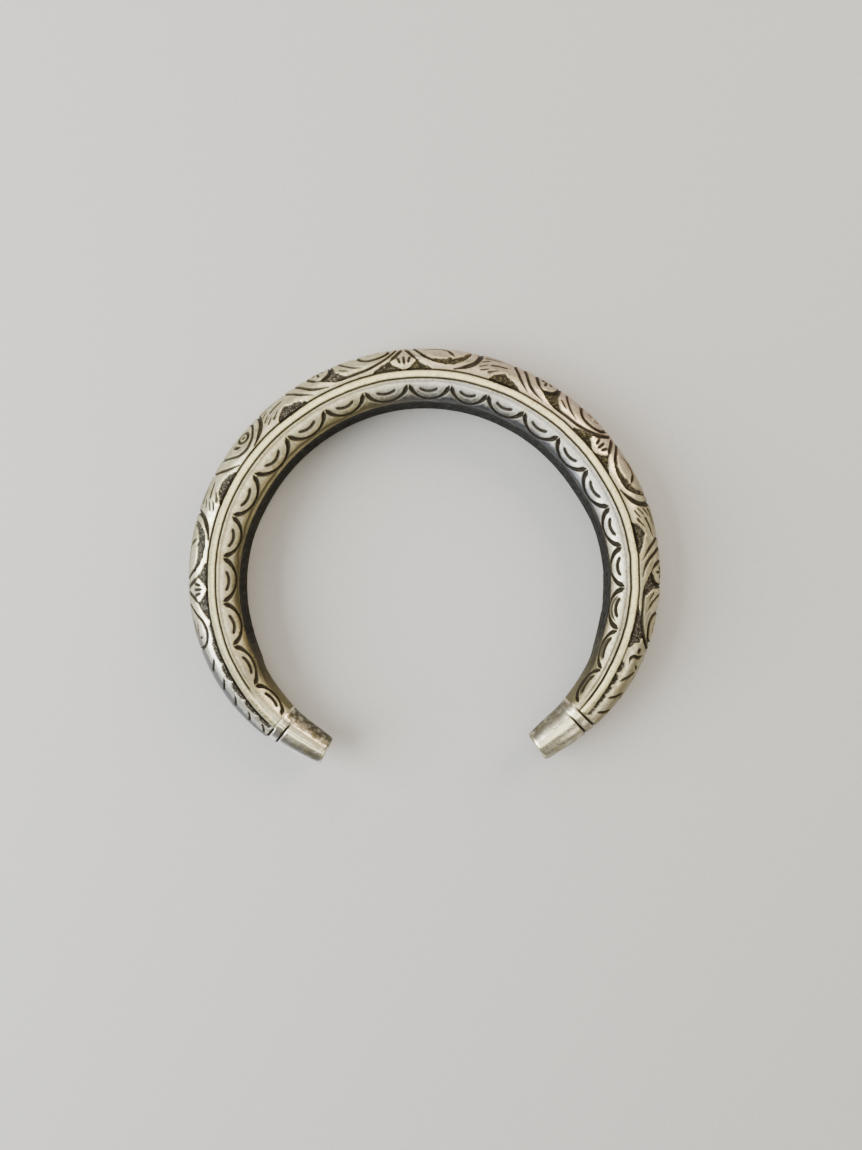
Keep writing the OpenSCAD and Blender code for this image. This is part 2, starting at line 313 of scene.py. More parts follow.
# Lights: name, place in metres, size, the property with its power, and colour
LIGHTS = (
    ("key_light", (-0.36, -0.02, 0.27), 0.38, "key", (0.92, 0.96, 1.0)),
    ("fill_light", (0.30, 0.24, 0.28), 0.26, "fill", (1.0, 0.84, 0.66)),
    ("top_light", (0.0, 0.02, 0.55), 0.40, "top", (1.0, 0.97, 0.86)),
    ("back_light", (-0.10, 0.36, 0.26), 0.30, "back", (1.0, 0.96, 0.90)),
    ("front_light", (0.28, -0.24, 0.26), 0.24, "front", (1.0, 0.95, 0.84)),
)
SKY_COLOUR = (0.93, 0.95, 1.0, 1.0)
# Half the floor's side in metres. Camera: place over the floor in millimetres, turn in degrees,
# and width of its sensor in millimetres.
FLOOR_REACH = 2.0
CAMERA_X, CAMERA_Y, CAMERA_TURN, SENSOR = 1.05, -3.12, -2.1, 36.0


# Sizes and colours


class KadaBarSizes(bpy.types.PropertyGroup):
    """Sizes of the bar, as in the CAD source"""

    inner_radius: bpy.props.FloatProperty(
        name="Inner Radius", description="Inner radius of the hoop at its back",
        default=0.0288, min=0.02, unit="LENGTH")
    width: bpy.props.FloatProperty(
        name="Bar Width", description="Thickness of the bar at its back, seen from above",
        default=0.00905, min=0.004, unit="LENGTH")
    height: bpy.props.FloatProperty(
        name="Bar Height", description="Height of the bar at its back",
        default=0.0106, min=0.004, unit="LENGTH")
    corner_rise: bpy.props.FloatProperty(
        name="Corner Rise",
        description="Height of the inner corner, as a share of half the bar's height",
        default=0.7, min=0.4, max=0.9, subtype="FACTOR")
    face_crown: bpy.props.FloatProperty(
        name="Face Crown", description="Crown of the sloping inner face",
        default=0.6, min=0.0, max=1.0, subtype="FACTOR")
    border: bpy.props.FloatProperty(
        name="Border Width", description="Width of the raised border",
        default=0.00095, min=0.0003, unit="LENGTH")
    line: bpy.props.FloatProperty(
        name="Line Width", description="Width of the line beside each edge of the border",
        default=0.00036, min=0.0001, unit="LENGTH")
    line_depth: bpy.props.FloatProperty(
        name="Line Depth", description="Depth of the line beside the border",
        default=0.0002, min=0.0, unit="LENGTH")
    collar: bpy.props.FloatProperty(
        name="Collar Angle", description="Angle from the back to the groove before the collar",
        default=math.radians(131.8), subtype="ANGLE")
    cap: bpy.props.FloatProperty(
        name="Cap Angle", description="Angle from the back to the groove before the cap",
        default=math.radians(134.6), subtype="ANGLE")
    tip: bpy.props.FloatProperty(
        name="Tip Angle", description="Angle from the back to the flat end of the cap",
        default=math.radians(147.8), subtype="ANGLE")
    groove: bpy.props.FloatProperty(
        name="Groove Width", description="Width of the grooves at the collar",
        default=0.0005, min=0.0001, unit="LENGTH")
    groove_depth: bpy.props.FloatProperty(
        name="Groove Depth", description="Depth of the grooves at the collar",
        default=0.0003, min=0.0, unit="LENGTH")
    tip_round: bpy.props.FloatProperty(
        name="Tip Rounding", description="Radius of the edge round the flat end",
        default=0.00055, min=0.0001, unit="LENGTH")


class KadaEngraving(bpy.types.PropertyGroup):
    """How deep and fine the hand engraving is cut"""

    stroke_depth: bpy.props.FloatProperty(
        name="Stroke Depth", description="Depth of a cut line as broad as half a millimetre",
        default=0.0003, min=0.0, unit="LENGTH")
    ground_depth: bpy.props.FloatProperty(
        name="Ground Depth", description="Depth of the punched grounds",
        default=0.0003, min=0.0, unit="LENGTH")
    step: bpy.props.FloatProperty(
        name="Mesh Step",
        description="Distance between the rings of the mesh, as an angle at the hoop",
        default=math.radians(0.17), min=0.001, subtype="ANGLE")
    lengths: bpy.props.IntProperty(
        name="Bar Lengths", description="How many lengths the bar's mesh is split into",
        default=5, min=1, max=12)
    seed: bpy.props.IntProperty(
        name="Hand Seed", description="Seed of the small slips of the hand in the cut lines",
        default=11, min=0)


class KadaMetal(bpy.types.PropertyGroup):
    """Colours and finish of the silver"""

    bright: bpy.props.FloatVectorProperty(
        name="Bright Silver", description="Colour of the rubbed silver",
        default=(0.95, 0.86, 0.43), size=3, min=0.0, max=1.0, subtype="COLOR")
    face: bpy.props.FloatVectorProperty(
        name="Face Silver", description="Colour of the silver between the cuts",
        default=(0.86, 0.81, 0.66), size=3, min=0.0, max=1.0, subtype="COLOR")
    warm: bpy.props.FloatVectorProperty(
        name="Warm Silver", description="Colour of the silver with a warm tarnish",
        default=(0.50, 0.42, 0.21), size=3, min=0.0, max=1.0, subtype="COLOR")
    # cool and rose are tarnish colours, and where the warmth picks them they also give a painted
    # reflection of cool light and of a red surround
    cool: bpy.props.FloatVectorProperty(
        name="Cool Silver", description="Colour of the silver with a cool tarnish",
        default=(0.64, 0.66, 0.70), size=3, min=0.0, max=1.0, subtype="COLOR")
    rose: bpy.props.FloatVectorProperty(
        name="Rose Tarnish And Reflection", description="Colour of the silver where copper shows in the tarnish",
        default=(0.62, 0.43, 0.33), size=3, min=0.0, max=1.0, subtype="COLOR")
    dark: bpy.props.FloatVectorProperty(
        name="Dark Tarnish", description="Colour of the tarnish left in the cuts",
        default=(0.011, 0.0085, 0.005), size=3, min=0.0, max=1.0, subtype="COLOR")
    # painted shade: the inner wall is coloured nearly black where it lies in shade, with some
    # tarnish
    wall: bpy.props.FloatVectorProperty(
        name="Inner Wall Shade", description="Colour of the dark inner wall",
        default=(0.016, 0.015, 0.013), size=3, min=0.0, max=1.0, subtype="COLOR")
    roughness: bpy.props.FloatProperty(
        name="Roughness", description="Roughness of the worn silver",
        default=0.36, min=0.05, max=1.0, subtype="FACTOR")


class KadaStage(bpy.types.PropertyGroup):
    """Floor, light and camera"""

    floor: bpy.props.FloatVectorProperty(
        name="Floor", description="Colour of the floor",
        default=(0.43, 0.42, 0.40), size=3, min=0.0, max=1.0, subtype="COLOR")
    key: bpy.props.FloatProperty(
        name="Key Light", description="Power of the large soft light",
        default=6.0, min=0.0, unit="POWER")
    fill: bpy.props.FloatProperty(
        name="Fill Light", description="Power of the second light",
        default=1.9, min=0.0, unit="POWER")
    top: bpy.props.FloatProperty(
        name="Top Light", description="Power of the light overhead",
        default=1.5, min=0.0, unit="POWER")
    back: bpy.props.FloatProperty(
        name="Back Light", description="Power of the weak light from behind",
        default=0.9, min=0.0, unit="POWER")
    front: bpy.props.FloatProperty(
        name="Front Light", description="Power of the weak light in front",
        default=0.5, min=0.0, unit="POWER")
    sky: bpy.props.FloatProperty(
        name="Sky", description="Strength of the light from all round",
        default=0.14, min=0.0)
    camera_height: bpy.props.FloatProperty(
        name="Camera Height", description="Height of the camera over the floor",
        default=0.170, min=0.05, unit="LENGTH")
    lens: bpy.props.FloatProperty(
        name="Lens", description="Focal length of the camera",
        default=31.87, min=10.0, subtype="DISTANCE_CAMERA")


# Shape of the bar


def column_slopes(column):
    """Slope at each row of the path, without overshoot between rows."""
    rise = np.diff(PATH[:, column]) / np.diff(PATH[:, 0])
    before, after = rise[:-1], rise[1:]
    turning = before * after <= 0
    inner = np.where(turning, 0, 2 * before * after / np.where(turning, 1, before + after))
    return np.concatenate([[rise[0]], inner, [rise[-1]]])


def along(column, angle):
    """One column of the path at an array of angles."""
    at, value, slope = PATH[:, 0], PATH[:, column], column_slopes(column)
    i = np.clip(np.searchsorted(at, angle, side="right") - 1, 0, len(at) - 2)
    gap = at[i + 1] - at[i]
    t = (angle - at[i]) / gap
    return ((2 * t**3 - 3 * t**2 + 1) * value[i] + (3 * t**2 - 2 * t**3) * value[i + 1]
            + (t**3 - 2 * t**2 + t) * gap * slope[i] + (t**3 - t**2) * gap * slope[i + 1])


def middle(bar, angle):
    """Middle of the bar in millimetres, about the middle of the hoop."""
    r = bar.inner_radius / MM + along(RADIUS, angle) + bar.width / MM * along(WIDTH, angle) / 2
    t = np.radians(angle)
    return np.stack([-r * np.sin(t), r * np.cos(t)], -1)


def outward(bar, angle):
    """Way out from the hoop at each angle."""
    d = middle(bar, angle + LOOK) - middle(bar, angle - LOOK)
    return np.stack([d[:, 1], -d[:, 0]], -1) / np.hypot(d[:, 0], d[:, 1])[:, None]


def smooth(t):
    """Smooth step from 0 to 1."""
    t = np.clip(t, 0, 1)
    return t * t * (3 - 2 * t)


def table(rows, angle):
    """A column of the values that a table of angles and values has at the angles."""
    return np.interp(angle, *zip(*rows))[:, None]


def groove_share(turn, angle, number):
    """How much of a groove at the collar is cut, by the place round the section. The first groove
    of the left end is only a slit on its outer side, the others run out on the inner side."""
    slit = (angle > 0) & (number == 0)
    place = np.cos(np.radians(turn)) - np.where(slit, 0.15, -0.7)
    return LEAST_GROOVE + (1 - LEAST_GROOVE) * smooth(place / np.where(slit, 0.3, 0.8))


def half_section(bar, angle, cut, line_share, wander, groove, number):
    """Upper half of the section at every angle, from the outermost point to the middle of the
    inner wall, in millimetres: x outwards and z up from the middle of the bar."""
    w = (bar.width / MM * along(WIDTH, angle))[:, None]
    h = (bar.height / MM * along(HEIGHT, angle))[:, None]
    k = along(ROUND, angle)[:, None]
    place = (along(BORDER, angle) + wander)[:, None]
    border, line = bar.border / MM, bar.line / MM
    lip_out, lip_in = place + border / 2, place - border / 2
    parts = []

    def add(x, z, turn, lowered=0.0):
        parts.append((x, z, turn, np.broadcast_to(lowered, x.shape)))

    def add_flat(x, lowered):
        add(x, h / 2 + 0 * x, turn_at(x), lowered)

    def turn_at(x):
        return np.degrees(np.arccos(np.clip(2 * x / w, -1, 1)))

    def steps(count, first=1):
        return np.linspace(0, 1, count + 1)[None, first:]

    t = steps(OUTER_COLUMNS, 0)
    lip = np.arccos(line / (w / 2 - lip_out))
    add(lip_out + (w / 2 - lip_out) * np.cos(t * lip), h / 2 * np.sin(t * lip),
        t * turn_at(lip_out + line))
    t = steps(LINE_COLUMNS)
    valley = bar.line_depth / MM * (1 - np.abs(2 * t - 1)) ** 0.8
    add_flat(lip_out + line * (1 - t), valley * line_share[:, :1])
    t = steps(BORDER_COLUMNS)
    add_flat(lip_out - border * t, BORDER_WEAR * (2 * t - 1) ** 4)
    add_flat(lip_in - line * steps(LINE_COLUMNS), valley * line_share[:, 1:])
    t = steps(FACE_COLUMNS)
    x0, x1 = lip_in - line, -w / 2
    mid_x = (x0 + x1) / 2 - bar.face_crown * CROWN_LEAN * w
    mid_z = (1 + bar.corner_rise) / 2 + bar.face_crown * CROWN_LIFT
    turn_in = turn_at(x0)
    add((1 - t) ** 2 * x0 + 2 * t * (1 - t) * mid_x + t**2 * x1,
        h / 2 * ((1 - t) ** 2 + 2 * t * (1 - t) * mid_z + t**2 * bar.corner_rise),
        turn_in + t * (CORNER_TURN - turn_in))
    t = steps(WALL_COLUMNS)
    add(-w / 2 + 0 * t, h / 2 * bar.corner_rise * (1 - t),
        CORNER_TURN + t * (180 - CORNER_TURN) + 0 * w)

    x, z, turn, lowered = (np.concatenate(p, 1) for p in zip(*parts))
    x = x * (1 - k) + k * w / 2 * np.cos(np.radians(turn))
    z = z * (1 - k) + k * h / 2 * np.sin(np.radians(turn)) - lowered
    share = groove_share(turn, angle[:, None], number[:, None])
    shrink = cut[:, None] + groove[:, None] * share
    return x * (1 - 2 * shrink / w), z * (1 - 2 * shrink / h), share


class Skin:
    """The bar's whole surface between two angles as a grid: rings along the hoop, columns round
    the section. Places are in millimetres about the middle of the hoop."""

    def __init__(self, bar, angle, cut, line_share, groove, number, wander=0.0):
        self.angle = angle
        x, z, self.groove_share = half_section(bar, angle, cut, line_share, wander, groove, number)
        self.lean = np.cos(np.arctan2(z, x - (x[:, :1] + x[:, -1:]) / 2))
        self.half = x.shape[1]
        steps = np.cumsum(np.hypot(np.diff(x, axis=1), np.diff(z, axis=1)), 1)
        arc = np.concatenate([np.zeros((len(angle), 1)), steps], 1)
        self.up = arc[:, OUTER_COLUMNS:OUTER_COLUMNS + 1] - arc
        self.down = arc - arc[:, FACE_START:FACE_START + 1]
        self.below = arc - arc[:, CORNER:CORNER + 1]
        whole_x = np.concatenate([x, x[:, -2:0:-1]], 1)
        whole_z = np.concatenate([z, -z[:, -2:0:-1]], 1)
        c, n = middle(bar, angle), outward(bar, angle)
        self.place = np.stack(
            [c[:, :1] + n[:, :1] * whole_x, c[:, 1:] + n[:, 1:] * whole_x,
             bar.height / MM / 2 + whole_z], -1)
        radius = np.hypot(self.place[:, :self.half, 0], self.place[:, :self.half, 1])
        self.reach = np.radians(1.0) * radius

    def start_cuts(self, engraving, rng):
        """Makes the surface ready for the graver, with the ragged edge that its grounds get."""
        shape = self.up.shape
        self.deep, self.low = engraving.stroke_depth / MM, engraving.ground_depth / MM
        self.depth, self.cuts, self.grounds, self.lights = (np.zeros(shape) for _ in range(4))
        self.ragged = RAGGED * spread(rng.normal(0, 1, shape), 1, 1)

    def window(self, points, across, pad):
        """Rings and columns within pad of a chart's points, or none."""
        (left, right), (low, high) = ((min(c), max(c)) for c in zip(*points))
        margin = pad / LEAST_DEGREE
        rings = np.nonzero((self.angle > left - margin) & (self.angle < right + margin))[0]
        if len(rings) == 0:
            return slice(0), slice(0)
        rows = slice(rings[0], rings[-1] + 1)
        near = (across[rows].max(0) > low - pad) & (across[rows].min(0) < high + pad)
        columns = np.nonzero(near)[0]
        if len(columns) == 0:
            return slice(0), slice(0)
        return rows, slice(columns[0], columns[-1] + 1)

    def nearness(self, across, width, points, taper):
        """The window round a smooth line, and how far each point in it is from the line: as a
        share of the line's half width there, and in millimetres beyond its edge."""
        part = self.window(points, across, width)
        line, share = smooth_line(points)
        starts, ends = (max(t, 0.01) for t in taper)
        swell = smooth(share / starts) * smooth((1 - share) / ends)
        half = (width * CUT_HALF + CUT_LEAST) * (0.3 + 0.7 * swell)
        a, up, reach = self.angle[part[0]][:, None], across[part], self.reach[part]
        nearest, beyond = np.full(up.shape, 99.0), np.full(up.shape, 99.0)
        for (s, o), r in zip(line, half):
            away = np.hypot((a - s) * reach, up - o)
            nearest = np.minimum(nearest, away / r)
            beyond = np.minimum(beyond, away - r)
        return part, nearest, beyond

    def stroke(self, across, width, points, share=1.0, taper=(0.25, 0.25), dark=1.0):
        """A tapering V cut along a smooth line, to a share of the full depth. Narrow ones are
        shallower, and what is cut is left dark."""
        part, nearest, beyond = self.nearness(across, width, points, taper)
        depth = self.deep * share * min(1.0, (width / 0.5) ** 0.7) * smooth(1.15 - nearest)
        self.depth[part] = np.maximum(self.depth[part], depth)
        self.cuts[part] = np.maximum(self.cuts[part], dark * smooth(0.62 - beyond / CUT_EDGE))

    def light_line(self, across, width, points):
        """A lighter worn line on the inner wall, across its painted shade and tarnish."""
        part, _, beyond = self.nearness(across, width, points, (0.2, 0.2))
        self.lights[part] = np.maximum(self.lights[part], smooth(0.6 - beyond / CUT_EDGE))

    def ground(self, across, points, share=1.0):
        """A sunk patch with steep sides inside a closed outline, to a share of its depth."""
        part = self.window(points, across, 0.3)
        inside = self.inside(across, points, part) + self.ragged[part] + 0.1
        depth = self.low * share * smooth(inside / GROUND_EDGE + 0.3)
        self.depth[part] = np.maximum(self.depth[part], depth)
        self.grounds[part] = np.maximum(self.grounds[part], smooth(inside / 0.16 + 0.5))

    def spare(self, across, points):
        """Leaves what lies inside a closed outline uncut."""
        part = self.window(points, across, 0.3)
        kept = smooth(0.5 - self.inside(across, points, part) / GROUND_EDGE)
        for values in (self.depth, self.grounds, self.cuts):
            values[part] *= kept

    def inside(self, across, points, part):
        """Distance in from the edge of an outline, below zero outside it."""
        a, up, reach = self.angle[part[0]][:, None], across[part], self.reach[part]
        near = np.full(up.shape, 99.0)
        crossed = np.zeros(up.shape, bool)
        for (s0, o0), (s1, o1) in zip(points, points[1:] + points[:1]):
            px, py = (a - s0) * reach, up - o0
            ex, ey = (s1 - s0) * reach, o1 - o0
            t = np.clip((px * ex + py * ey) / np.maximum(ex * ex + ey * ey, 1e-9), 0, 1)
            near = np.minimum(near, np.hypot(px - t * ex, py - t * ey))
            if o0 != o1:
                before = a < s0 + (s1 - s0) * (up - o0) / (o1 - o0)
                crossed ^= ((up > o0) != (up > o1)) & before
        return np.where(crossed, near, -near)


def smooth_line(points, spacing=0.12):
    """Points close together on a smooth curve through a chart's points, and their shares of it."""
    p = np.array(points, float)
    if len(p) == 2:
        p = np.array([p[0], (p[0] + p[1]) / 2, p[1]])
    ends = np.concatenate([[2 * p[0] - p[1]], p, [2 * p[-1] - p[-2]]])
    made = []
    for i in range(len(p) - 1):
        a, b, c, d = ends[i:i + 4]
        n = max(2, int(np.hypot((c[0] - b[0]) * BORDER_DEGREE, c[1] - b[1]) / spacing))
        t = (np.arange(n) / n)[:, None]
        made.append(0.5 * (2 * b + (c - a) * t + (2 * a - 5 * b + 4 * c - d) * t**2
                           + (3 * b - a - 3 * c + d) * t**3))
    line = np.concatenate(made + [p[-1:]])
    steps = np.hypot(*(np.diff(line, axis=0) * (BORDER_DEGREE, 1)).T)
    share = np.concatenate([[0], np.cumsum(steps)])
    return line, share / share[-1]


def spread(values, rings, columns):
    """Blurs a grid by a box of so many rings and columns each way, twice."""
    for axis, reach in ((0, rings), (1, columns)):
        for _ in range(2):
            size = 2 * reach + 1
            pad = [(0, 0), (0, 0)]
            pad[axis] = (reach + 1, reach)
            total = np.cumsum(np.pad(values, pad, mode="edge"), axis)
            upper = np.take(total, np.arange(size, total.shape[axis]), axis)
            lower = np.take(total, np.arange(0, total.shape[axis] - size), axis)
            values = (upper - lower) / size
    return values


def hand_noise(rng, count, step, size):
    """A smooth line of chance values, one for each ring, that changes over so many rings."""
    knots = rng.normal(0, size, count // step + 4)
    at = np.arange(count) / step
    i = at.astype(int)
    t = smooth(at - i)
    return knots[i] * (1 - t) + knots[i + 1] * t


def soft_dents(rng, shape, rings, columns, depth):
    """Dents all over a grid, from nothing to a depth, as broad as the blur by which they run."""
    rise = spread(rng.normal(0, 1, shape), rings, columns)
    return depth * (rise - rise.min()) / (rise.max() - rise.min())


def full(values):
    """Mirrors a grid of the upper half round to the lower half."""
    return np.concatenate([values, values[:, -2:0:-1]], 1)


def half_groove(bar):
    """Half the angle of a groove at the collar, in degrees."""
    return math.degrees(bar.groove / 2 / bar.inner_radius)


# Engraving


def moved(points, bud, stretch=1.0):
    """A chart's points, set off from a bud."""
    return [(bud - stretch * s, o) for s, o in points]


def cut_long_leaf(skin, points):
    """The edge of the long leaf round its rosette."""
    skin.stroke(skin.up, 0.36, points, taper=(0.2, 0.3))


def cut_repeat_stroke(skin, width, points):
    """One of the repeat's strokes, which are cut a little broader than they are charted."""
    skin.stroke(skin.up, width * 1.15, points, taper=(0.08, 0.3))


def cut_repeat(skin, bud, stretch, rng):
    """Cuts one repeat of the outer band to the right of its bud, with the hand's small slips. At
    the ring bud the ring flower stands in place of the long leaf, and its neighbour gives way."""
    ring_flower = bud == RING_BUD
    far, middle_of, reach = GIVE_WAY if ring_flower else (0.0, 0.0, 1.0)

    def at(points):
        dx, dy = rng.normal(0, SLIP, 2)
        return [(bud - stretch * (s - far * math.exp(-(((s - middle_of) / reach) ** 2))) + dx,
                 o + dy / 2) for s, o in points]

    for outline in REPEAT_GROUNDS[1:] if ring_flower else REPEAT_GROUNDS:
        skin.ground(skin.up, at(outline))
    if ring_flower:
        place, size, petals = RING_ROSETTE
        cut_rosette(skin, (bud - place, EQUATOR), size, petals)
    else:
        place, size, petals = ROSETTE
        cut_rosette(skin, (bud - stretch * place, EQUATOR), size, petals)
        cut_long_leaf(skin, at(LEAF_EDGE))
    place, across, tall = VEINED_LEAF
    cut_veined_leaf(skin, (bud - stretch * place, EQUATOR), across, tall)
    for width, points in REPEAT_STROKES[LEAF_STROKES:] if ring_flower else REPEAT_STROKES:
        cut_repeat_stroke(skin, width, at(points))


def cut_left_repeat(skin):
    """The repeat after the left bud stops at its parallels, where the ring flower starts."""
    up = skin.up
    for outline in LEFT_GROUNDS:
        skin.ground(up, outline)
    place, size, petals = ROSETTE
    cut_rosette(skin, (LEFT_BUD - place, EQUATOR), size, petals)
    cut_long_leaf(skin, moved(LEAF_EDGE, LEFT_BUD))
    for number, (width, points) in enumerate(REPEAT_STROKES[:FIRST_STROKES]):
        slip, drop = (1.0, 0.3) if number > LEAF_STROKES else (0.0, 0.0)
        cut_repeat_stroke(skin, width, [(LEFT_BUD - s - slip, o - drop) for s, o in points])
    skin.stroke(up, 0.34, moved(RING_LINE, RING_BUD), taper=(0.05, 0.05))
    eye, size = (49.2, 3.0), 0.95
    ring = [(eye[0] + size / BORDER_DEGREE * math.cos(t), eye[1] + size * math.sin(t))
            for t in np.linspace(0, 2 * math.pi, 25)]
    skin.stroke(up, 0.4, ring, taper=(0.0, 0.0))
    skin.stroke(up, 0.45, [(49.35, 3.0), (49.05, 3.0)], taper=(0.0, 0.0))
    skin.stroke(up, 0.45, [(52.6, 3.6), (52.2, 2.6), (51.2, 1.95)], taper=(0.3, 0.4))


def oval(centre, across, up, count=24, turn=0.0, reach=0.0):
    """Closed outline of an ellipse: centre in degrees and millimetres, half sizes in millimetres.
    It may be turned, and moved out along its own turn."""
    made = []
    for i in range(count):
        t = 2 * math.pi * i / count
        x, y = reach + across * math.cos(t), up * math.sin(t)
        x, y = x * math.cos(turn) - y * math.sin(turn), x * math.sin(turn) + y * math.cos(turn)
        made.append((centre[0] - x / OUTER_DEGREE, centre[1] + y))
    return made


def cut_rosette(skin, centre, size, petals):
    """A round flower standing in a sunk ring."""
    turns = [2 * math.pi * (i + 0.5) / petals for i in range(petals)]
    petal, breadth, out, eye = (size * share for share in (0.36, 0.27, 0.66, 0.3))
    skin.ground(skin.up, oval(centre, size + 0.35, size + 0.35))
    for turn in turns:
        skin.spare(skin.up, oval(centre, petal, breadth, turn=turn, reach=out))
    skin.spare(skin.up, oval(centre, eye, eye))
    for turn in turns:
        vein = [oval(centre, 0.0, 0.0, 1, turn, size * r)[0] for r in (0.5, 0.85)]
        skin.stroke(skin.up, 0.16, vein, 0.6)


def cut_veined_leaf(skin, centre, across, tall):
    """A veined leaf standing in a sunk oval."""
    s, o = centre
    skin.ground(skin.up, oval(centre, across + 0.3, tall + 0.35))
    skin.spare(skin.up, oval(centre, across, tall))
    skin.stroke(skin.up, 0.2, [(s, o - tall * 0.9), (s, o)])
    for side in (-1, 1):
        for k in range(5):
            low = o - tall * (0.75 - 0.18 * k)
            vein = [(s + side * 0.2, low), (s + side * across, low + 0.35)]
            skin.stroke(skin.up, 0.18, vein, 0.8)


def cut_outer_band(skin, rng):
    """Engraves the whole outer band."""
    for bud, stretch in BUDS:
        for outline in BUD_GROUNDS:
            skin.ground(skin.up, moved(outline, bud, stretch))
        for width, points in BUD_STROKES:
            skin.stroke(skin.up, width, moved(points, bud, stretch))
    cut_left_repeat(skin)
    for bud, stretch in REPEATS:
        cut_repeat(skin, bud, stretch, rng)


def cut_ends(skin):
    """Engraves the outer band near both ends: strokes, scale cuts in two rows, and blots."""
    up = skin.up
    skin.ground(up, RIGHT_GROUND)
    for width, points in END_STROKES:
        skin.stroke(up, width, points)
    for a0, o0, a1, o1 in SCALES:
        way = math.copysign(1, a1 - a0)
        mid = ((a0 + a1) / 2 + 0.25 * math.copysign(1, a0), (o0 + o1) / 2 - 0.12)
        start, end = (a0 - 0.3 * way, o0 + 0.15), (a1 + 0.4 * way, o1 - 0.25)
        skin.stroke(up, 0.3, [start, mid, end], taper=(0.12, 0.2))
        rise = 2.7 if abs(a0) < 116 else 2.2
        second = [(s + (a0 - a1) * 0.5, o + rise) for s, o in ((a0, o0), mid, (a1, o1))]
        skin.stroke(up, 0.34, second, taper=(0.4, 0.4))
    for a0, a1, top in BLOTS:
        skin.ground(up, [(a0 + (a1 - a0) * t, o * top) for t, o in BLOT_OUTLINE], 0.7)


def cut_inner_wall(skin, rng):
    """A worn scroll on the dark inner wall, whose darkness is painted shade with some tarnish,
    nearly worn away.
    """
    for a in np.arange(-118, 118, 13.0):
        rise, slip = rng.normal(0, 0.15), rng.normal(0, 0.7)
        skin.light_line(skin.below, 0.2, [
            (a + slip, 2.9), (a + 2.5, 1.6 + rise), (a + 6.5, 0.9 + rise), (a + 10.0, 1.6),
            (a + 12.0, 2.7)])
        skin.light_line(skin.below, 0.16, [
            (a + 3.5 + slip, 3.4), (a + 5.5, 2.3 + rise), (a + 8.5, 2.4)])


def cut_scallop(skin, left, right):
    """One scallop of the inner face: a thin arc that swells towards both cusps, and an eyelid cut
    inside it. At the right end it has a second fine arc."""
    down, top = skin.down, 1.0
    span, centre = left - right, (left + right) / 2
    # shallower at both ends, and deepest where the bar is broadest on the left
    bottom = 2.75 if abs(centre) > 100 else 3.5 if 41 < centre < 56 else 3.25
    share = np.linspace(0.03, 0.97, 15)
    drop = (1 - np.abs((1 - 2 * share) / 0.94) ** 2.0).clip(0) ** 0.68
    arc = [(left - span * t, top + (bottom - top) * d) for t, d in zip(share, drop)]
    skin.stroke(down, 0.24, arc, 0.9, taper=(0.02, 0.02))
    last = centre < -100
    for half in (arc[:8], arc[:6:-1]):
        skin.stroke(down, 0.5 if last else 0.66, half, taper=(0.14, 1.2))
    if centre < -88:
        second = [(centre + (s - centre) * 0.72, 1.05 + (o - top) * 0.74) for s, o in arc[1:-1]]
        skin.stroke(down, 0.2, second, 0.6, taper=(0.2, 0.2), dark=0.85)
    long, width = (0.27, 0.26) if last else (0.225, 0.34)
    rise = max(bottom - 2.75, 0.42)
    eyelid = [(centre + span * (0.02 - long * t), 1.45 + rise * (1 - t * t))
              for t in np.linspace(-1, 1, 7)]
    skin.stroke(down, width, eyelid, 0.85, taper=(0.1, 0.1))


def cut_inner_face(skin, rng):
    """Engraves the scallops of the sloping inner face, and the fine lines along the bar."""
    for left, right in zip(CUSPS, CUSPS[1:]):
        cut_scallop(skin, left, right)
    for across, width, place, slip, angles, share, taper, dark in (
        (skin.up, 0.1, -0.8, 0.02, (122, 60, -4.0), 0.2, (0.05, 0.3), 0.5),
        (skin.down, 0.16, 0.42, 0.03, (128, -129, -4.0), 0.3, (0.02, 0.02), 0.45),
        (skin.down, 0.2, 3.5, 0.08, (112, -113, -3.0), 0.5, (0.02, 0.02), 0.75),
    ):
        line = [(a, place + rng.normal(0, slip)) for a in np.arange(*angles)]
        skin.stroke(across, width, line, share, taper, dark)


# Meshes


def surface_normals(place):
    """Unit normals of a grid of places, from its neighbours along and round."""
    along_hoop = np.gradient(place, axis=0)
    round_section = (np.roll(place, -1, 1) - np.roll(place, 1, 1)) / 2
    n = np.cross(along_hoop, round_section)
    return n / np.maximum(np.linalg.norm(n, axis=2, keepdims=True), 1e-12)


def sunk(skin, depth):
    """Places of a skin's points at a depth below its surface."""
    return skin.place - surface_normals(skin.place) * depth[..., None]


def to_frame(place):
    """Millimetres about the hoop's middle to metres in the frame, kept inside the CAD box."""
    in_frame = (place + (HOOP_X, HOOP_Y, 0.0)) * MM
    return np.clip(in_frame, np.array(cad_box[0]), np.array(cad_box[1]))


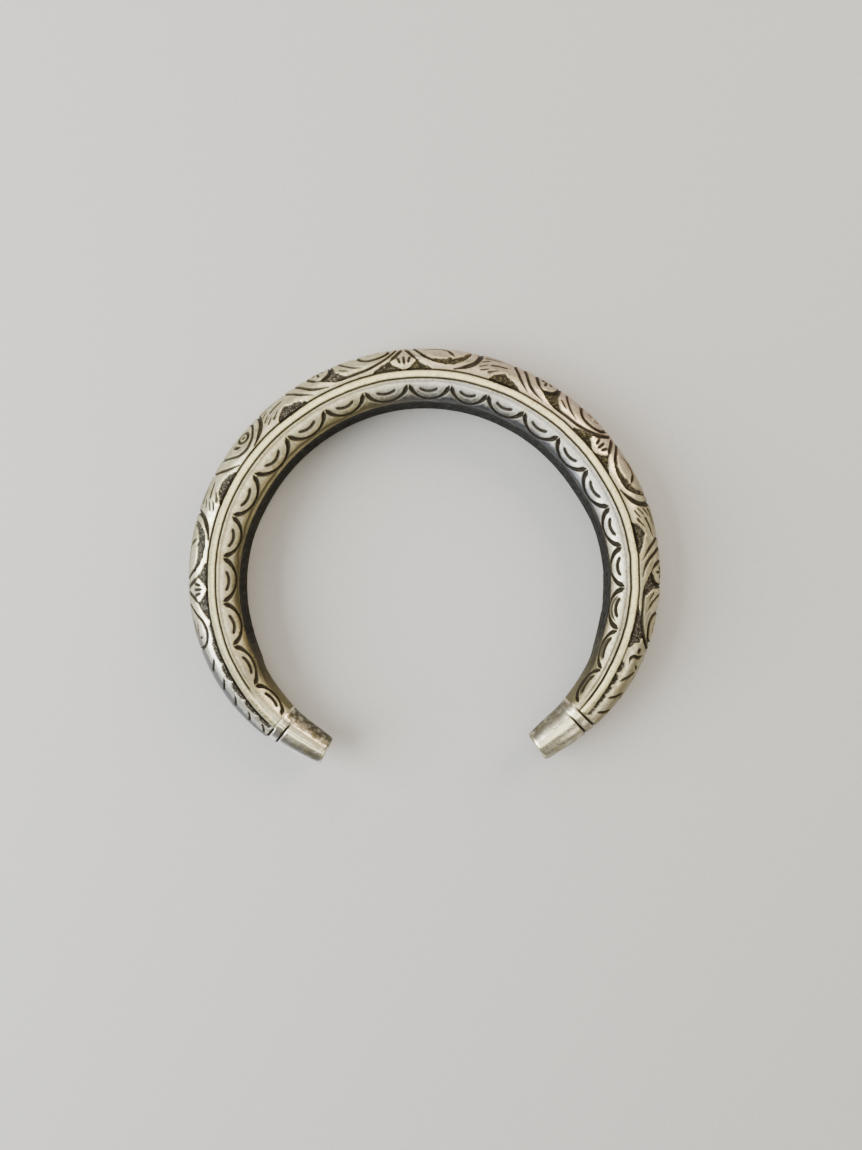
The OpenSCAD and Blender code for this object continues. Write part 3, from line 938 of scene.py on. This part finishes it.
def wrap_grid(name, place, normals, marks, material):
    """Makes a closed piece: a flat grid is wrapped round the section, its seam is merged, and its
    two ends are filled. Both marks are painted on its points as attributes: relief holds
    the cuts, the grounds, and the soot with painted shade; wear holds what is worn bright
    with painted highlights, the painted shade with some tarnish, and the warmth with its painted
    reflected tint."""
    rings, columns = place.shape[:2]
    bm = bmesh.new()
    bmesh.ops.create_grid(bm, x_segments=rings - 1, y_segments=columns, size=1.0)
    if len(bm.verts) != rings * (columns + 1):
        raise RuntimeError(
            f"{name}: the grid has {len(bm.verts)} points, not {rings * (columns + 1)}")
    flat = np.array([v.co[:2] for v in bm.verts])
    ring = np.rint((flat[:, 0] + 1) / 2 * (rings - 1)).astype(int)
    column = np.rint((flat[:, 1] + 1) / 2 * columns).astype(int) % columns
    number = bm.verts.layers.int.new("number")
    numbers = (ring * columns + column).tolist()
    for v, p, at in zip(bm.verts, to_frame(place)[ring, column], numbers):
        v.co = p
        v[number] = at
    bmesh.ops.remove_doubles(bm, verts=[v for v in bm.verts if v.is_boundary], dist=1e-7)
    bmesh.ops.holes_fill(bm, edges=[e for e in bm.edges if e.is_boundary], sides=0)
    bmesh.ops.recalc_face_normals(bm, faces=bm.faces)
    for f in bm.faces:
        f.smooth = True
    mesh = bpy.data.meshes.new(name)
    bm.to_mesh(mesh)
    bm.free()
    mesh.materials.append(material)
    count = len(mesh.vertices)
    number = np.zeros(count, np.int32)
    mesh.attributes["number"].data.foreach_get("value", number)
    mesh.attributes.remove(mesh.attributes["number"])
    ring, column = number // columns, number % columns
    for mark, values in zip(("relief", "wear"), marks):
        layer = mesh.attributes.new(mark, "FLOAT_COLOR", "POINT")
        colours = np.ones((count, 4), np.float32)
        colours[:, :3] = values[ring, column]
        layer.data.foreach_set("color", colours.ravel())
    mesh.normals_split_custom_set_from_vertices(normals[ring, column].tolist())
    piece = bpy.data.objects.new(name, mesh)
    bpy.context.scene.collection.objects.link(piece)
    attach(piece, "root")
    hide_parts("bangle")


# Materials


def make_group(name, inputs, outputs):
    """An empty shader node group with its sockets, its Object coordinates, and its two ends."""
    group = bpy.data.node_groups.new(name, "ShaderNodeTree")
    for label, kind, default in inputs:
        socket = group.interface.new_socket(name=label, in_out="INPUT", socket_type=kind)
        socket.default_value = default
    for label, kind in outputs:
        group.interface.new_socket(name=label, in_out="OUTPUT", socket_type=kind)
    given, result = group.nodes.new("NodeGroupInput"), group.nodes.new("NodeGroupOutput")
    return group, object_place(group), given.outputs, result.inputs


def node(tree, kind, inputs=None, **settings):
    """Adds a node, sets it up, and fills or links its inputs."""
    made = tree.nodes.new(kind)
    for key, value in settings.items():
        setattr(made, key, value)
    for key, value in (inputs or {}).items():
        if isinstance(value, bpy.types.NodeSocket):
            tree.links.new(value, made.inputs[key])
        else:
            made.inputs[key].default_value = value
    return made


def mix(tree, factor, a, b):
    """Mixes two colours."""
    return node(tree, "ShaderNodeMix", {0: factor, 6: a, 7: b}, data_type="RGBA").outputs[2]


def ramp(tree, value, low, high, to_low=0.0, to_high=1.0):
    """Spreads a value between two limits."""
    limits = {0: value, 1: low, 2: high, 3: to_low, 4: to_high}
    return node(tree, "ShaderNodeMapRange", limits, interpolation_type="SMOOTHSTEP").outputs[0]


def maths(tree, operation, a, b, c=0.0):
    """One step of arithmetic."""
    return node(tree, "ShaderNodeMath", {0: a, 1: b, 2: c}, operation=operation).outputs[0]


def times(tree, a, b):
    """Product of two values."""
    return maths(tree, "MULTIPLY", a, b)


def plus(tree, a, b):
    """Sum of two values."""
    return maths(tree, "ADD", a, b)


def most(tree, a, b):
    """Larger of two values."""
    return maths(tree, "MAXIMUM", a, b)


def object_place(tree):
    """Object coordinates."""
    return node(tree, "ShaderNodeTexCoord").outputs["Object"]


def noise(tree, place, scale, detail, roughness=0.5):
    """Cloudy noise."""
    return node(tree, "ShaderNodeTexNoise", {
        "Vector": place, "Scale": scale, "Detail": detail, "Roughness": roughness}).outputs["Fac"]


def painted(tree, name):
    """The three marks that an attribute holds."""
    colour = node(tree, "ShaderNodeAttribute", attribute_name=name).outputs["Color"]
    return node(tree, "ShaderNodeSeparateColor", {0: colour}).outputs


def rubbed_tone_group():
    """Slow mottling of worn silver, between a cool, a warm and a rosy tone: tarnish colours, which
    also give a painted reflected tint where the warmth is set round the hoop and across the caps.
    """
    colour, number = "NodeSocketColor", "NodeSocketFloat"
    group, place, given, result = make_group(
        "rubbed_tone",
        [("Bright", colour, (0.8, 0.8, 0.8, 1)), ("Warm", colour, (0.6, 0.5, 0.4, 1)),
         ("Cool", colour, (0.6, 0.6, 0.6, 1)), ("Rose", colour, (0.6, 0.4, 0.3, 1)),
         ("Scale", number, 300.0), ("Warmth", number, 0.5)],
        [("Color", colour), ("Mottle", number)])
    broad = noise(group, place, given["Scale"], 4.0, 0.6)
    small = noise(group, place, times(group, given["Scale"], 5.0), 5.0, 0.65)
    drift = plus(group, given["Warmth"], ramp(group, broad, 0.3, 0.7, -0.15, 0.15))
    tarnish = mix(group, ramp(group, drift, 0.0, 0.5), given["Cool"], given["Warm"])
    tarnish = mix(group, ramp(group, drift, 0.55, 1.0), tarnish, given["Rose"])
    patch = ramp(group, small, 0.4, 0.66)
    share = plus(group, times(group, patch, 0.55), ramp(group, broad, 0.35, 0.7, 0.08, 0.42))
    group.links.new(mix(group, share, given["Bright"], tarnish), result["Color"])
    group.links.new(patch, result["Mottle"])


def scratches_group():
    """Fine rubbing marks that run every way, as a height and a mask."""
    number = "NodeSocketFloat"
    group, place, given, result = make_group(
        "fine_scratches", [("Scale", number, 900.0)], [("Height", number), ("Mask", number)])
    total = 0.0
    for turn, stretch in (
        (0.35, (1, 11, 3)), (1.15, (1, 7, 4)), (2.2, (1, 14, 2)), (2.9, (1, 9, 5)),
    ):
        turned = node(group, "ShaderNodeMapping", {
            "Vector": place, "Rotation": (0.2, 0.1, turn), "Scale": stretch}).outputs[0]
        thin = ramp(group, noise(group, turned, given["Scale"], 2.0), 0.64, 0.78)
        total = most(group, total, thin)
    group.links.new(total, result["Mask"])
    group.links.new(maths(group, "SUBTRACT", 1.0, total), result["Height"])


def punch_group():
    """Punched stippling: small round dents, as a height and a mask."""
    number = "NodeSocketFloat"
    group, place, given, result = make_group(
        "punched_stipple", [("Scale", number, 4200.0)], [("Height", number), ("Mask", number)])
    away = node(group, "ShaderNodeTexVoronoi", {
        "Vector": place, "Scale": given["Scale"], "Randomness": 0.8}).outputs["Distance"]
    group.links.new(ramp(group, away, 0.12, 0.5), result["Height"])
    group.links.new(ramp(group, away, 0.42, 0.7), result["Mask"])


def ready_groups():
    """Builds the shared effects once."""
    for name, build in (
        ("rubbed_tone", rubbed_tone_group), ("fine_scratches", scratches_group),
        ("punched_stipple", punch_group),
    ):
        if name not in bpy.data.node_groups:
            build()


def placed(tree, name, inputs):
    """Places a shared effect in a material."""
    group = bpy.data.node_groups[name]
    return node(tree, "ShaderNodeGroup", inputs, node_tree=group).outputs


def worn_silver(tree, metal, bright, scale, warmth):
    """The mottled tone of worn silver, placed with the metal's colours."""
    return placed(tree, "rubbed_tone", {
        "Bright": bright, "Warm": tone(metal.warm), "Cool": tone(metal.cool),
        "Rose": tone(metal.rose), "Scale": scale, "Warmth": warmth})


def tone(colour, value=1.0):
    """A colour made darker or lighter."""
    return (colour[0] * value, colour[1] * value, colour[2] * value, 1.0)


def start_material(name):
    """A material with only its Principled shader."""
    made = bpy.data.materials.new(name)
    made.use_nodes = True
    tree = made.node_tree
    tree.nodes.clear()
    shader = tree.nodes.new("ShaderNodeBsdfPrincipled")
    out = tree.nodes.new("ShaderNodeOutputMaterial")
    tree.links.new(shader.outputs[0], out.inputs["Surface"])
    return made, tree, shader


def finish_surface(tree, shader, colour, rough, grain, strength, distance=0.00005):
    """Links a surface's colour, roughness and grain to its shader."""
    bump = node(tree, "ShaderNodeBump", {
        "Strength": strength, "Distance": distance, "Height": grain})
    tree.links.new(colour, shader.inputs["Base Color"])
    tree.links.new(bump.outputs[0], shader.inputs["Normal"])
    if isinstance(rough, float):
        shader.inputs["Roughness"].default_value = rough
    else:
        tree.links.new(rough, shader.inputs["Roughness"])


def engraved_silver(metal):
    """Silver of the bar: worn bright on the high parts, tarnished in the cuts, with soot and
    painted shade beside them and over the inner face, and painted shade with some tarnish on the
    inner wall.
    """
    made, tree, shader = start_material("engraved_silver")
    cut, ground, soot_and_shade = painted(tree, "relief")
    brightened, wall, warmth = painted(tree, "wear")
    place = object_place(tree)
    specks = noise(tree, place, 2300.0, 3.0, 0.7)
    pits = noise(tree, place, 1100.0, 4.0, 0.65)
    marks = placed(tree, "fine_scratches", {"Scale": 700.0})
    punched = placed(tree, "punched_stipple", {"Scale": 6200.0})

    # worn metal, brighter where it is rubbed and flecked with brown
    bright = mix(tree, ramp(tree, warmth, 0.1, 0.5, 0.0, 0.3), tone(metal.face),
                 tone(metal.bright, 0.9))
    worn = worn_silver(tree, metal, bright, 260.0, warmth)
    surface = mix(tree, times(tree, brightened, 0.85), worn["Color"], tone(metal.bright, 1.03))
    surface = mix(tree, ramp(tree, specks, 0.56, 0.7, 0.0, 0.5), surface, tone(metal.warm, 0.3))

    # soot and painted shade over it, cool, warm or rosy
    soot_and_shade_tone = mix(tree, ramp(tree, warmth, 0.05, 0.45), tone(metal.cool, 0.2), tone(metal.warm, 0.38))
    soot_and_shade_tone = mix(tree, ramp(tree, warmth, 0.55, 0.9), soot_and_shade_tone, tone(metal.rose, 0.5))
    surface = mix(tree, times(tree, soot_and_shade, ramp(tree, specks, 0.35, 0.65, 0.45, 0.95)), surface,
                  soot_and_shade_tone)
    surface = mix(tree, ramp(tree, soot_and_shade, 0.7, 1.0), surface, soot_and_shade_tone)

    # painted shade of the inner wall, nearly black, with some tarnish and brown pits
    pitted = mix(tree, times(tree, ramp(tree, pits, 0.55, 0.66), 0.2), tone(metal.wall, 0.2),
                 tone(metal.warm, 0.3))
    surface = mix(tree, wall, surface, pitted)

    # punched grounds and cut lines
    punch_tone = mix(tree, ramp(tree, warmth, 0.4, 0.8), tone(metal.face, 0.2),
                     tone(metal.warm, 0.27))
    punch_share = times(tree, punched["Mask"], ramp(tree, specks, 0.44, 0.58, 0.1, 1.0))
    surface = mix(tree, ground, surface,
                  mix(tree, punch_share, tone(metal.dark, 1.5), punch_tone))
    surface = mix(tree, times(tree, cut, ramp(tree, specks, 0.3, 0.7, 1.0, 0.93)), surface,
                  tone(metal.dark))

    dark = most(tree, most(tree, cut, ground), wall)
    tree.links.new(ramp(tree, dark, 0.0, 1.0, 0.94, 0.05), shader.inputs["Metallic"])
    shader.inputs["Specular IOR Level"].default_value = 0.06
    rough = maths(tree, "MULTIPLY_ADD", worn["Mottle"], 0.16, metal.roughness - 0.06)
    rough = plus(tree, rough, times(tree, dark, 0.25))
    rough = maths(tree, "SUBTRACT", rough, times(tree, brightened, 0.08))
    grain = times(tree, marks["Height"], 0.12)
    for height, weight in (
        (times(tree, punched["Height"], ground), 1.6), (specks, 0.5),
        (times(tree, pits, wall), 3.0),
    ):
        grain = plus(tree, grain, times(tree, height, weight))
    finish_surface(tree, shader, surface, rough, grain, 0.55)
    return made


def brushed_silver(metal):
    """Silver of the plain caps: drawn marks, small dents and brown smudges, with painted highlight
    streaks and painted dark bands of shade across them.
    """
    made, tree, shader = start_material("brushed_silver")
    brightened, smudge_and_shade, warmth = painted(tree, "wear")
    cut = painted(tree, "relief")[0]
    worn = worn_silver(tree, metal, tone(metal.face, 1.05), 200.0, warmth)
    marks = placed(tree, "fine_scratches", {"Scale": 500.0})
    blots = noise(tree, object_place(tree), 900.0, 4.0, 0.6)
    # painted shade: dark bands across the cap and its darker flat end, broken up by blots
    patch = times(tree, smudge_and_shade, ramp(tree, blots, 0.3, 0.56, 0.6, 1.0))
    # painted highlight streaks, cool or cream by the warmth
    cream = mix(tree, 0.35, tone(metal.bright), CREAM_SHINE)
    shine = mix(tree, ramp(tree, warmth, 0.0, 0.4), COOL_SHINE, cream)
    surface = mix(tree, times(tree, brightened, 0.8), worn["Color"], shine)
    surface = mix(tree, times(tree, patch, 0.97), surface, tone(metal.warm, 0.08))
    surface = mix(tree, times(tree, marks["Mask"], 0.18), surface, tone(metal.dark, 3.0))
    surface = mix(tree, cut, surface, tone(metal.dark))
    tree.links.new(ramp(tree, cut, 0.0, 0.8, 0.93, 0.0), shader.inputs["Metallic"])
    shader.inputs["Specular IOR Level"].default_value = 0.06
    rough = maths(tree, "MULTIPLY_ADD", worn["Mottle"], 0.14, metal.roughness - 0.18)
    rough = plus(tree, rough, times(tree, most(tree, patch, cut), 0.2))
    grain = plus(tree, times(tree, marks["Height"], 0.3), times(tree, blots, 0.8))
    finish_surface(tree, shader, surface, rough, grain, 0.5)
    return made


def floor_card(stage):
    """Matt pale card of the floor."""
    made, tree, shader = start_material("pale_card")
    fibre = noise(tree, object_place(tree), 1200.0, 4.0)
    card = mix(tree, ramp(tree, fibre, 0.3, 0.7), tone(stage.floor, 0.98), tone(stage.floor, 1.02))
    finish_surface(tree, shader, card, 0.85, fibre, 0.1, distance=0.0001)
    return made


# Operators


class KADA_OT_stage(bpy.types.Operator):
    """Lays the floor and sets the lights and the camera"""

    bl_idname = "kada.stage"
    bl_label = "Set the Stage"

    def execute(self, context):
        scene, stage = context.scene, context.scene.kada_stage
        bm = bmesh.new()
        bmesh.ops.create_grid(bm, x_segments=8, y_segments=8, size=FLOOR_REACH)
        mesh = bpy.data.meshes.new("floor")
        bm.to_mesh(mesh)
        bm.free()
        mesh.materials.append(floor_card(stage))
        floor = bpy.data.objects.new("floor", mesh)
        scene.collection.objects.link(floor)
        world = bpy.data.worlds.new("studio")
        world.use_nodes = True
        sky = world.node_tree.nodes["Background"].inputs
        sky["Color"].default_value = SKY_COLOUR
        sky["Strength"].default_value = stage.sky
        scene.world = world
        for name, place, size, power, colour in LIGHTS:
            lamp = bpy.data.lights.new(name, "AREA")
            lamp.size, lamp.energy, lamp.color = size, getattr(stage, power), colour
            light = bpy.data.objects.new(name, lamp)
            light.location = place
            light.rotation_euler = (-Vector(place)).to_track_quat("-Z", "Y").to_euler()
            scene.collection.objects.link(light)
        lens = bpy.data.cameras.new("camera")
        lens.lens, lens.sensor_width = stage.lens, SENSOR
        lens.clip_start, lens.clip_end = 0.01, 10.0
        camera = bpy.data.objects.new("camera", lens)
        camera.location = (CAMERA_X * MM, CAMERA_Y * MM, stage.camera_height)
        camera.rotation_euler = (0.0, 0.0, math.radians(CAMERA_TURN))
        scene.collection.objects.link(camera)
        scene.camera = camera
        return {"FINISHED"}


def dark_lines(skin, groove):
    """The dark in the two lines beside the border, and in the groove before the collar."""
    columns = np.arange(skin.half)
    line = smooth(3 * groove[:, None] * (skin.groove_share - LEAST_GROOVE))
    for first, rows in ((OUTER_COLUMNS, OUTER_LINE), (INNER_LINE_START, INNER_LINE)):
        half = LINE_COLUMNS / 2
        across = smooth(1.65 - np.abs(columns - (first + half)) / half)
        line = np.maximum(line, across * table(rows, skin.angle))
    return line


def soot_and_painted_shade(skin, dark):
    """Soot and painted shade beside the cuts, and painted shade over the inner face, darker down
    towards its corner, and far out on the outer face towards its silhouette.
    """
    angle = skin.angle
    on_outer = np.arange(skin.half) <= OUTER_COLUMNS
    on_face = np.arange(skin.half) > INNER_LINE_START
    # soot and painted shade beside the cuts, scaled on the outer band by the angle round the hoop
    beside = np.clip(spread(full(dark), 3, 3) * 1.2 - full(dark) * 0.2, 0, 1)
    beside *= full(np.where(on_outer, table(CLEAN, angle), 1.0))
    # painted shade over the whole inner face, by the angle round the hoop
    face_shade = table(FACE_SHADE, angle)
    # painted shade, darker low on the inner face towards its corner
    low_face_shade = smooth((skin.down - 1.2) / 2.0) * (0.4 + 0.5 * table(LOW_FACE_SHADE, angle))
    # painted shade far out on the outer face, towards its silhouette
    run = table([(95, 3.2), (110, 1.5)], np.abs(angle))
    far_out_shade = smooth((skin.up - 0.8) / run) * table(FAR_OUT_SHADE, angle)
    return np.maximum(beside, full(np.maximum(on_face * face_shade + low_face_shade * (1 - face_shade), far_out_shade)))


def rubbed_bright(skin, depth, line):
    """Where the bar is worn bright: beside the cuts, on the border and along the inner corner."""
    columns = np.arange(skin.half) + np.zeros((len(skin.angle), 1))
    around = spread(depth + full(line) * 0.15, 3, 3)
    brightened = np.clip((around - depth) * 5.5, 0, 1)
    half = BORDER_COLUMNS / 2
    border = smooth((1.1 - np.abs(columns - (BORDER_START + half)) / half) / 0.3)
    brightened = np.clip(brightened + full(border * 0.85), 0, 1)
    return np.maximum(brightened, full(np.exp(-(((columns - CORNER) / 1.3) ** 2))))


def engraved_skin(bar, engraving, angle, groove, rng):
    """The bar's surface with all its cuts. The hand's slips are drawn in this order."""
    count, none = len(angle), 0 * angle
    wander = sum(hand_noise(rng, count, *change) for change in WANDER)
    slips = np.stack([hand_noise(rng, count, LINE_RINGS, 1) for _ in range(2)], 1)
    lines = np.concatenate([table(OUTER_LINE, angle), table(INNER_LINE, angle)], 1)
    lines = lines * (1 + LINE_CHANGE * slips)
    skin = Skin(bar, angle, none, lines, bar.groove_depth / MM * groove, none, wander)
    skin.start_cuts(engraving, rng)
    cut_outer_band(skin, rng)
    cut_ends(skin)
    cut_inner_face(skin, rng)
    cut_inner_wall(skin, rng)
    return skin


def bar_marks(skin, collar, groove, rng):
    """Depths below the bar's surface, and its marks. The cuts run out before the collar."""
    angle, columns = skin.angle, np.arange(skin.half)
    run_out = smooth((collar - np.abs(angle)) / RUN_OUT)[:, None]
    line = dark_lines(skin, groove)
    cuts, grounds = np.maximum(skin.cuts * run_out, line), skin.grounds * run_out
    soot_and_shade = soot_and_painted_shade(skin, np.maximum(cuts, grounds))
    depth = full(skin.depth * run_out) + soft_dents(
        rng, (len(angle), 2 * skin.half - 2), 9, 9, BAR_DENT)
    brightened = rubbed_bright(skin, depth, line)
    patches = smooth(spread(rng.normal(0.5, 2.6, skin.lights.shape), 6, 3))
    # painted shade on the inner wall below its corner, with some tarnish, lighter along the worn
    # scroll
    wall = table(WALL_SHADE, angle) * smooth((columns - CORNER - 0.6) / 1.8)
    wall = wall * (1 - 0.17 * skin.lights * patches)
    # warmth by the angle round the hoop: it picks cool, warm or rosy silver, partly tarnish and
    # partly a painted reflected tint
    warmth = np.where(
        columns > INNER_LINE_START, table(INNER_WARMTH, angle), table(OUTER_WARMTH, angle))
    relief = np.stack([full(cuts), full(grounds), soot_and_shade], -1)
    return depth, (relief, np.stack([brightened, full(wall), full(warmth)], -1))


def cap_marks(skin, bar, tones, groove, rng):
    """Marks of a cap: dark in its grooves, painted highlight streaks and painted dark bands of
    shade with some tarnish across it, a warmth that changes across it, a worn bright edge round its
    tip, and a darker flat end.
    """
    collar, tip = math.degrees(bar.collar), math.degrees(bar.tip)
    away = np.abs(skin.angle)[:, None]
    grooves = full(groove[:, None] * (skin.groove_share - LEAST_GROOVE))
    lean = full(skin.lean + 0.03 * hand_noise(rng, len(skin.angle), 6, 1.0)[:, None])
    places, stains_and_shade, shines = zip(*tones)
    # darker on the flat end of the tip
    at_tip = smooth((away - tip + 0.25) / 0.25) * 0.7
    # painted dark bands of shade across the cap, with some tarnish, from the collar on
    stain_and_shade = np.interp(lean, places, stains_and_shade) * smooth((away - collar) / 1.0)
    # a worn bright edge round the tip, and painted highlight streaks across the cap
    brightened = np.maximum(1 - np.abs(away - tip + 0.7) / 0.7, 0)
    brightened = np.clip(np.maximum(brightened, np.interp(lean, places, shines)), 0, 1)
    outer_warmth = 0.0 if skin.angle[0] > 0 else 0.55
    warmth = np.interp(lean, (-1, -0.3, 0.3, 0.6), (0.75, 0.6, 0.4, outer_warmth))
    relief = np.stack([smooth(grooves * 3), 0 * lean, 0 * lean], -1)
    return relief, np.stack([brightened, np.maximum(stain_and_shade, at_tip), warmth], -1)


class KADA_OT_bar(bpy.types.Operator):
    """Makes the engraved bar in lengths that join without a seam"""

    bl_idname = "kada.bar"
    bl_label = "Make the Engraved Bar"

    def execute(self, context):
        scene = context.scene
        bar, engraving = scene.kada_bar, scene.kada_engraving
        ready_groups()
        rng = np.random.default_rng(engraving.seed)
        collar, lengths = math.degrees(bar.collar), engraving.lengths
        size = round(2 * collar / math.degrees(engraving.step) / lengths)
        angle = np.linspace(-collar, collar, lengths * size + 1)
        groove = np.clip(1 - (collar - np.abs(angle)) / half_groove(bar), 0, 1)
        skin = engraved_skin(bar, engraving, angle, groove, rng)
        depth, marks = bar_marks(skin, collar, groove, rng)
        place = sunk(skin, depth)
        normals = surface_normals(place)
        material = engraved_silver(scene.kada_metal)
        for number in range(lengths):
            part = slice(number * size, number * size + size + 1)
            wrap_grid(f"bar_length_{number + 1}", place[part], normals[part],
                      [values[part] for values in marks], material)
        return {"FINISHED"}


class KADA_OT_caps(bpy.types.Operator):
    """Makes the plain collar and cap at each end"""

    bl_idname = "kada.caps"
    bl_label = "Make the Caps"

    def execute(self, context):
        scene = context.scene
        bar = scene.kada_bar
        ready_groups()
        material = brushed_silver(scene.kada_metal)
        rng = np.random.default_rng(scene.kada_engraving.seed + 1)
        round_turn = math.degrees(bar.tip_round / bar.inner_radius)
        collar, cap, tip = (math.degrees(a) for a in (bar.collar, bar.cap, bar.tip))
        body = np.arange(collar, tip - round_turn, CAP_STEP)
        turn = np.linspace(0, math.pi / 2, TIP_RINGS)
        angle = np.concatenate([body, tip - round_turn + round_turn * np.sin(turn)])
        cut = np.concatenate([0 * body, bar.tip_round / MM * (1 - np.cos(turn))])
        number = np.where(angle < (collar + cap) / 2, 0, 1)
        near_groove = np.minimum(angle - collar, np.abs(angle - cap))
        notch = np.clip(1 - near_groove / half_groove(bar), 0, 1)
        for name, side, tones in (("cap_left", 1, LEFT_CAP), ("cap_right", -1, RIGHT_CAP)):
            order = np.argsort(side * angle)
            groove = notch[order]
            skin = Skin(bar, side * angle[order], cut[order], np.zeros((len(angle), 2)),
                        bar.groove_depth / MM * groove, number[order])
            place = sunk(skin, soft_dents(rng, skin.place.shape[:2], 4, 8, CAP_DENT))
            marks = cap_marks(skin, bar, tones, groove, rng)
            wrap_grid(name, place, surface_normals(place), marks, material)
        return {"FINISHED"}


class KADA_PT_panel(bpy.types.Panel):
    """Lists what the bangle is made of"""

    bl_idname = "KADA_PT_panel"
    bl_label = "Kada Bangle"
    bl_space_type = "VIEW_3D"
    bl_region_type = "UI"
    bl_category = "Kada"

    def draw(self, context):
        for name in SETTINGS:
            group = getattr(context.scene, name)
            box = self.layout.box()
            for size in group.__annotations__:
                box.prop(group, size)
        for operator in (KADA_OT_bar, KADA_OT_caps, KADA_OT_stage):
            self.layout.operator(operator.bl_idname)


SETTINGS = {
    "kada_bar": KadaBarSizes, "kada_engraving": KadaEngraving, "kada_metal": KadaMetal,
    "kada_stage": KadaStage,
}
CLASSES = (*SETTINGS.values(), KADA_OT_stage, KADA_OT_bar, KADA_OT_caps, KADA_PT_panel)


def register():
    """Registers the classes and hangs the settings on the scene."""
    for made in CLASSES:
        bpy.utils.register_class(made)
    for name, group in SETTINGS.items():
        setattr(bpy.types.Scene, name, bpy.props.PointerProperty(type=group))


def unregister():
    """Takes both away again."""
    for name in SETTINGS:
        delattr(bpy.types.Scene, name)
    for made in reversed(CLASSES):
        bpy.utils.unregister_class(made)


def main():
    register()
    bpy.ops.kada.stage()
    bpy.ops.kada.bar()
    bpy.ops.kada.caps()


if __name__ == "__main__":
    main()
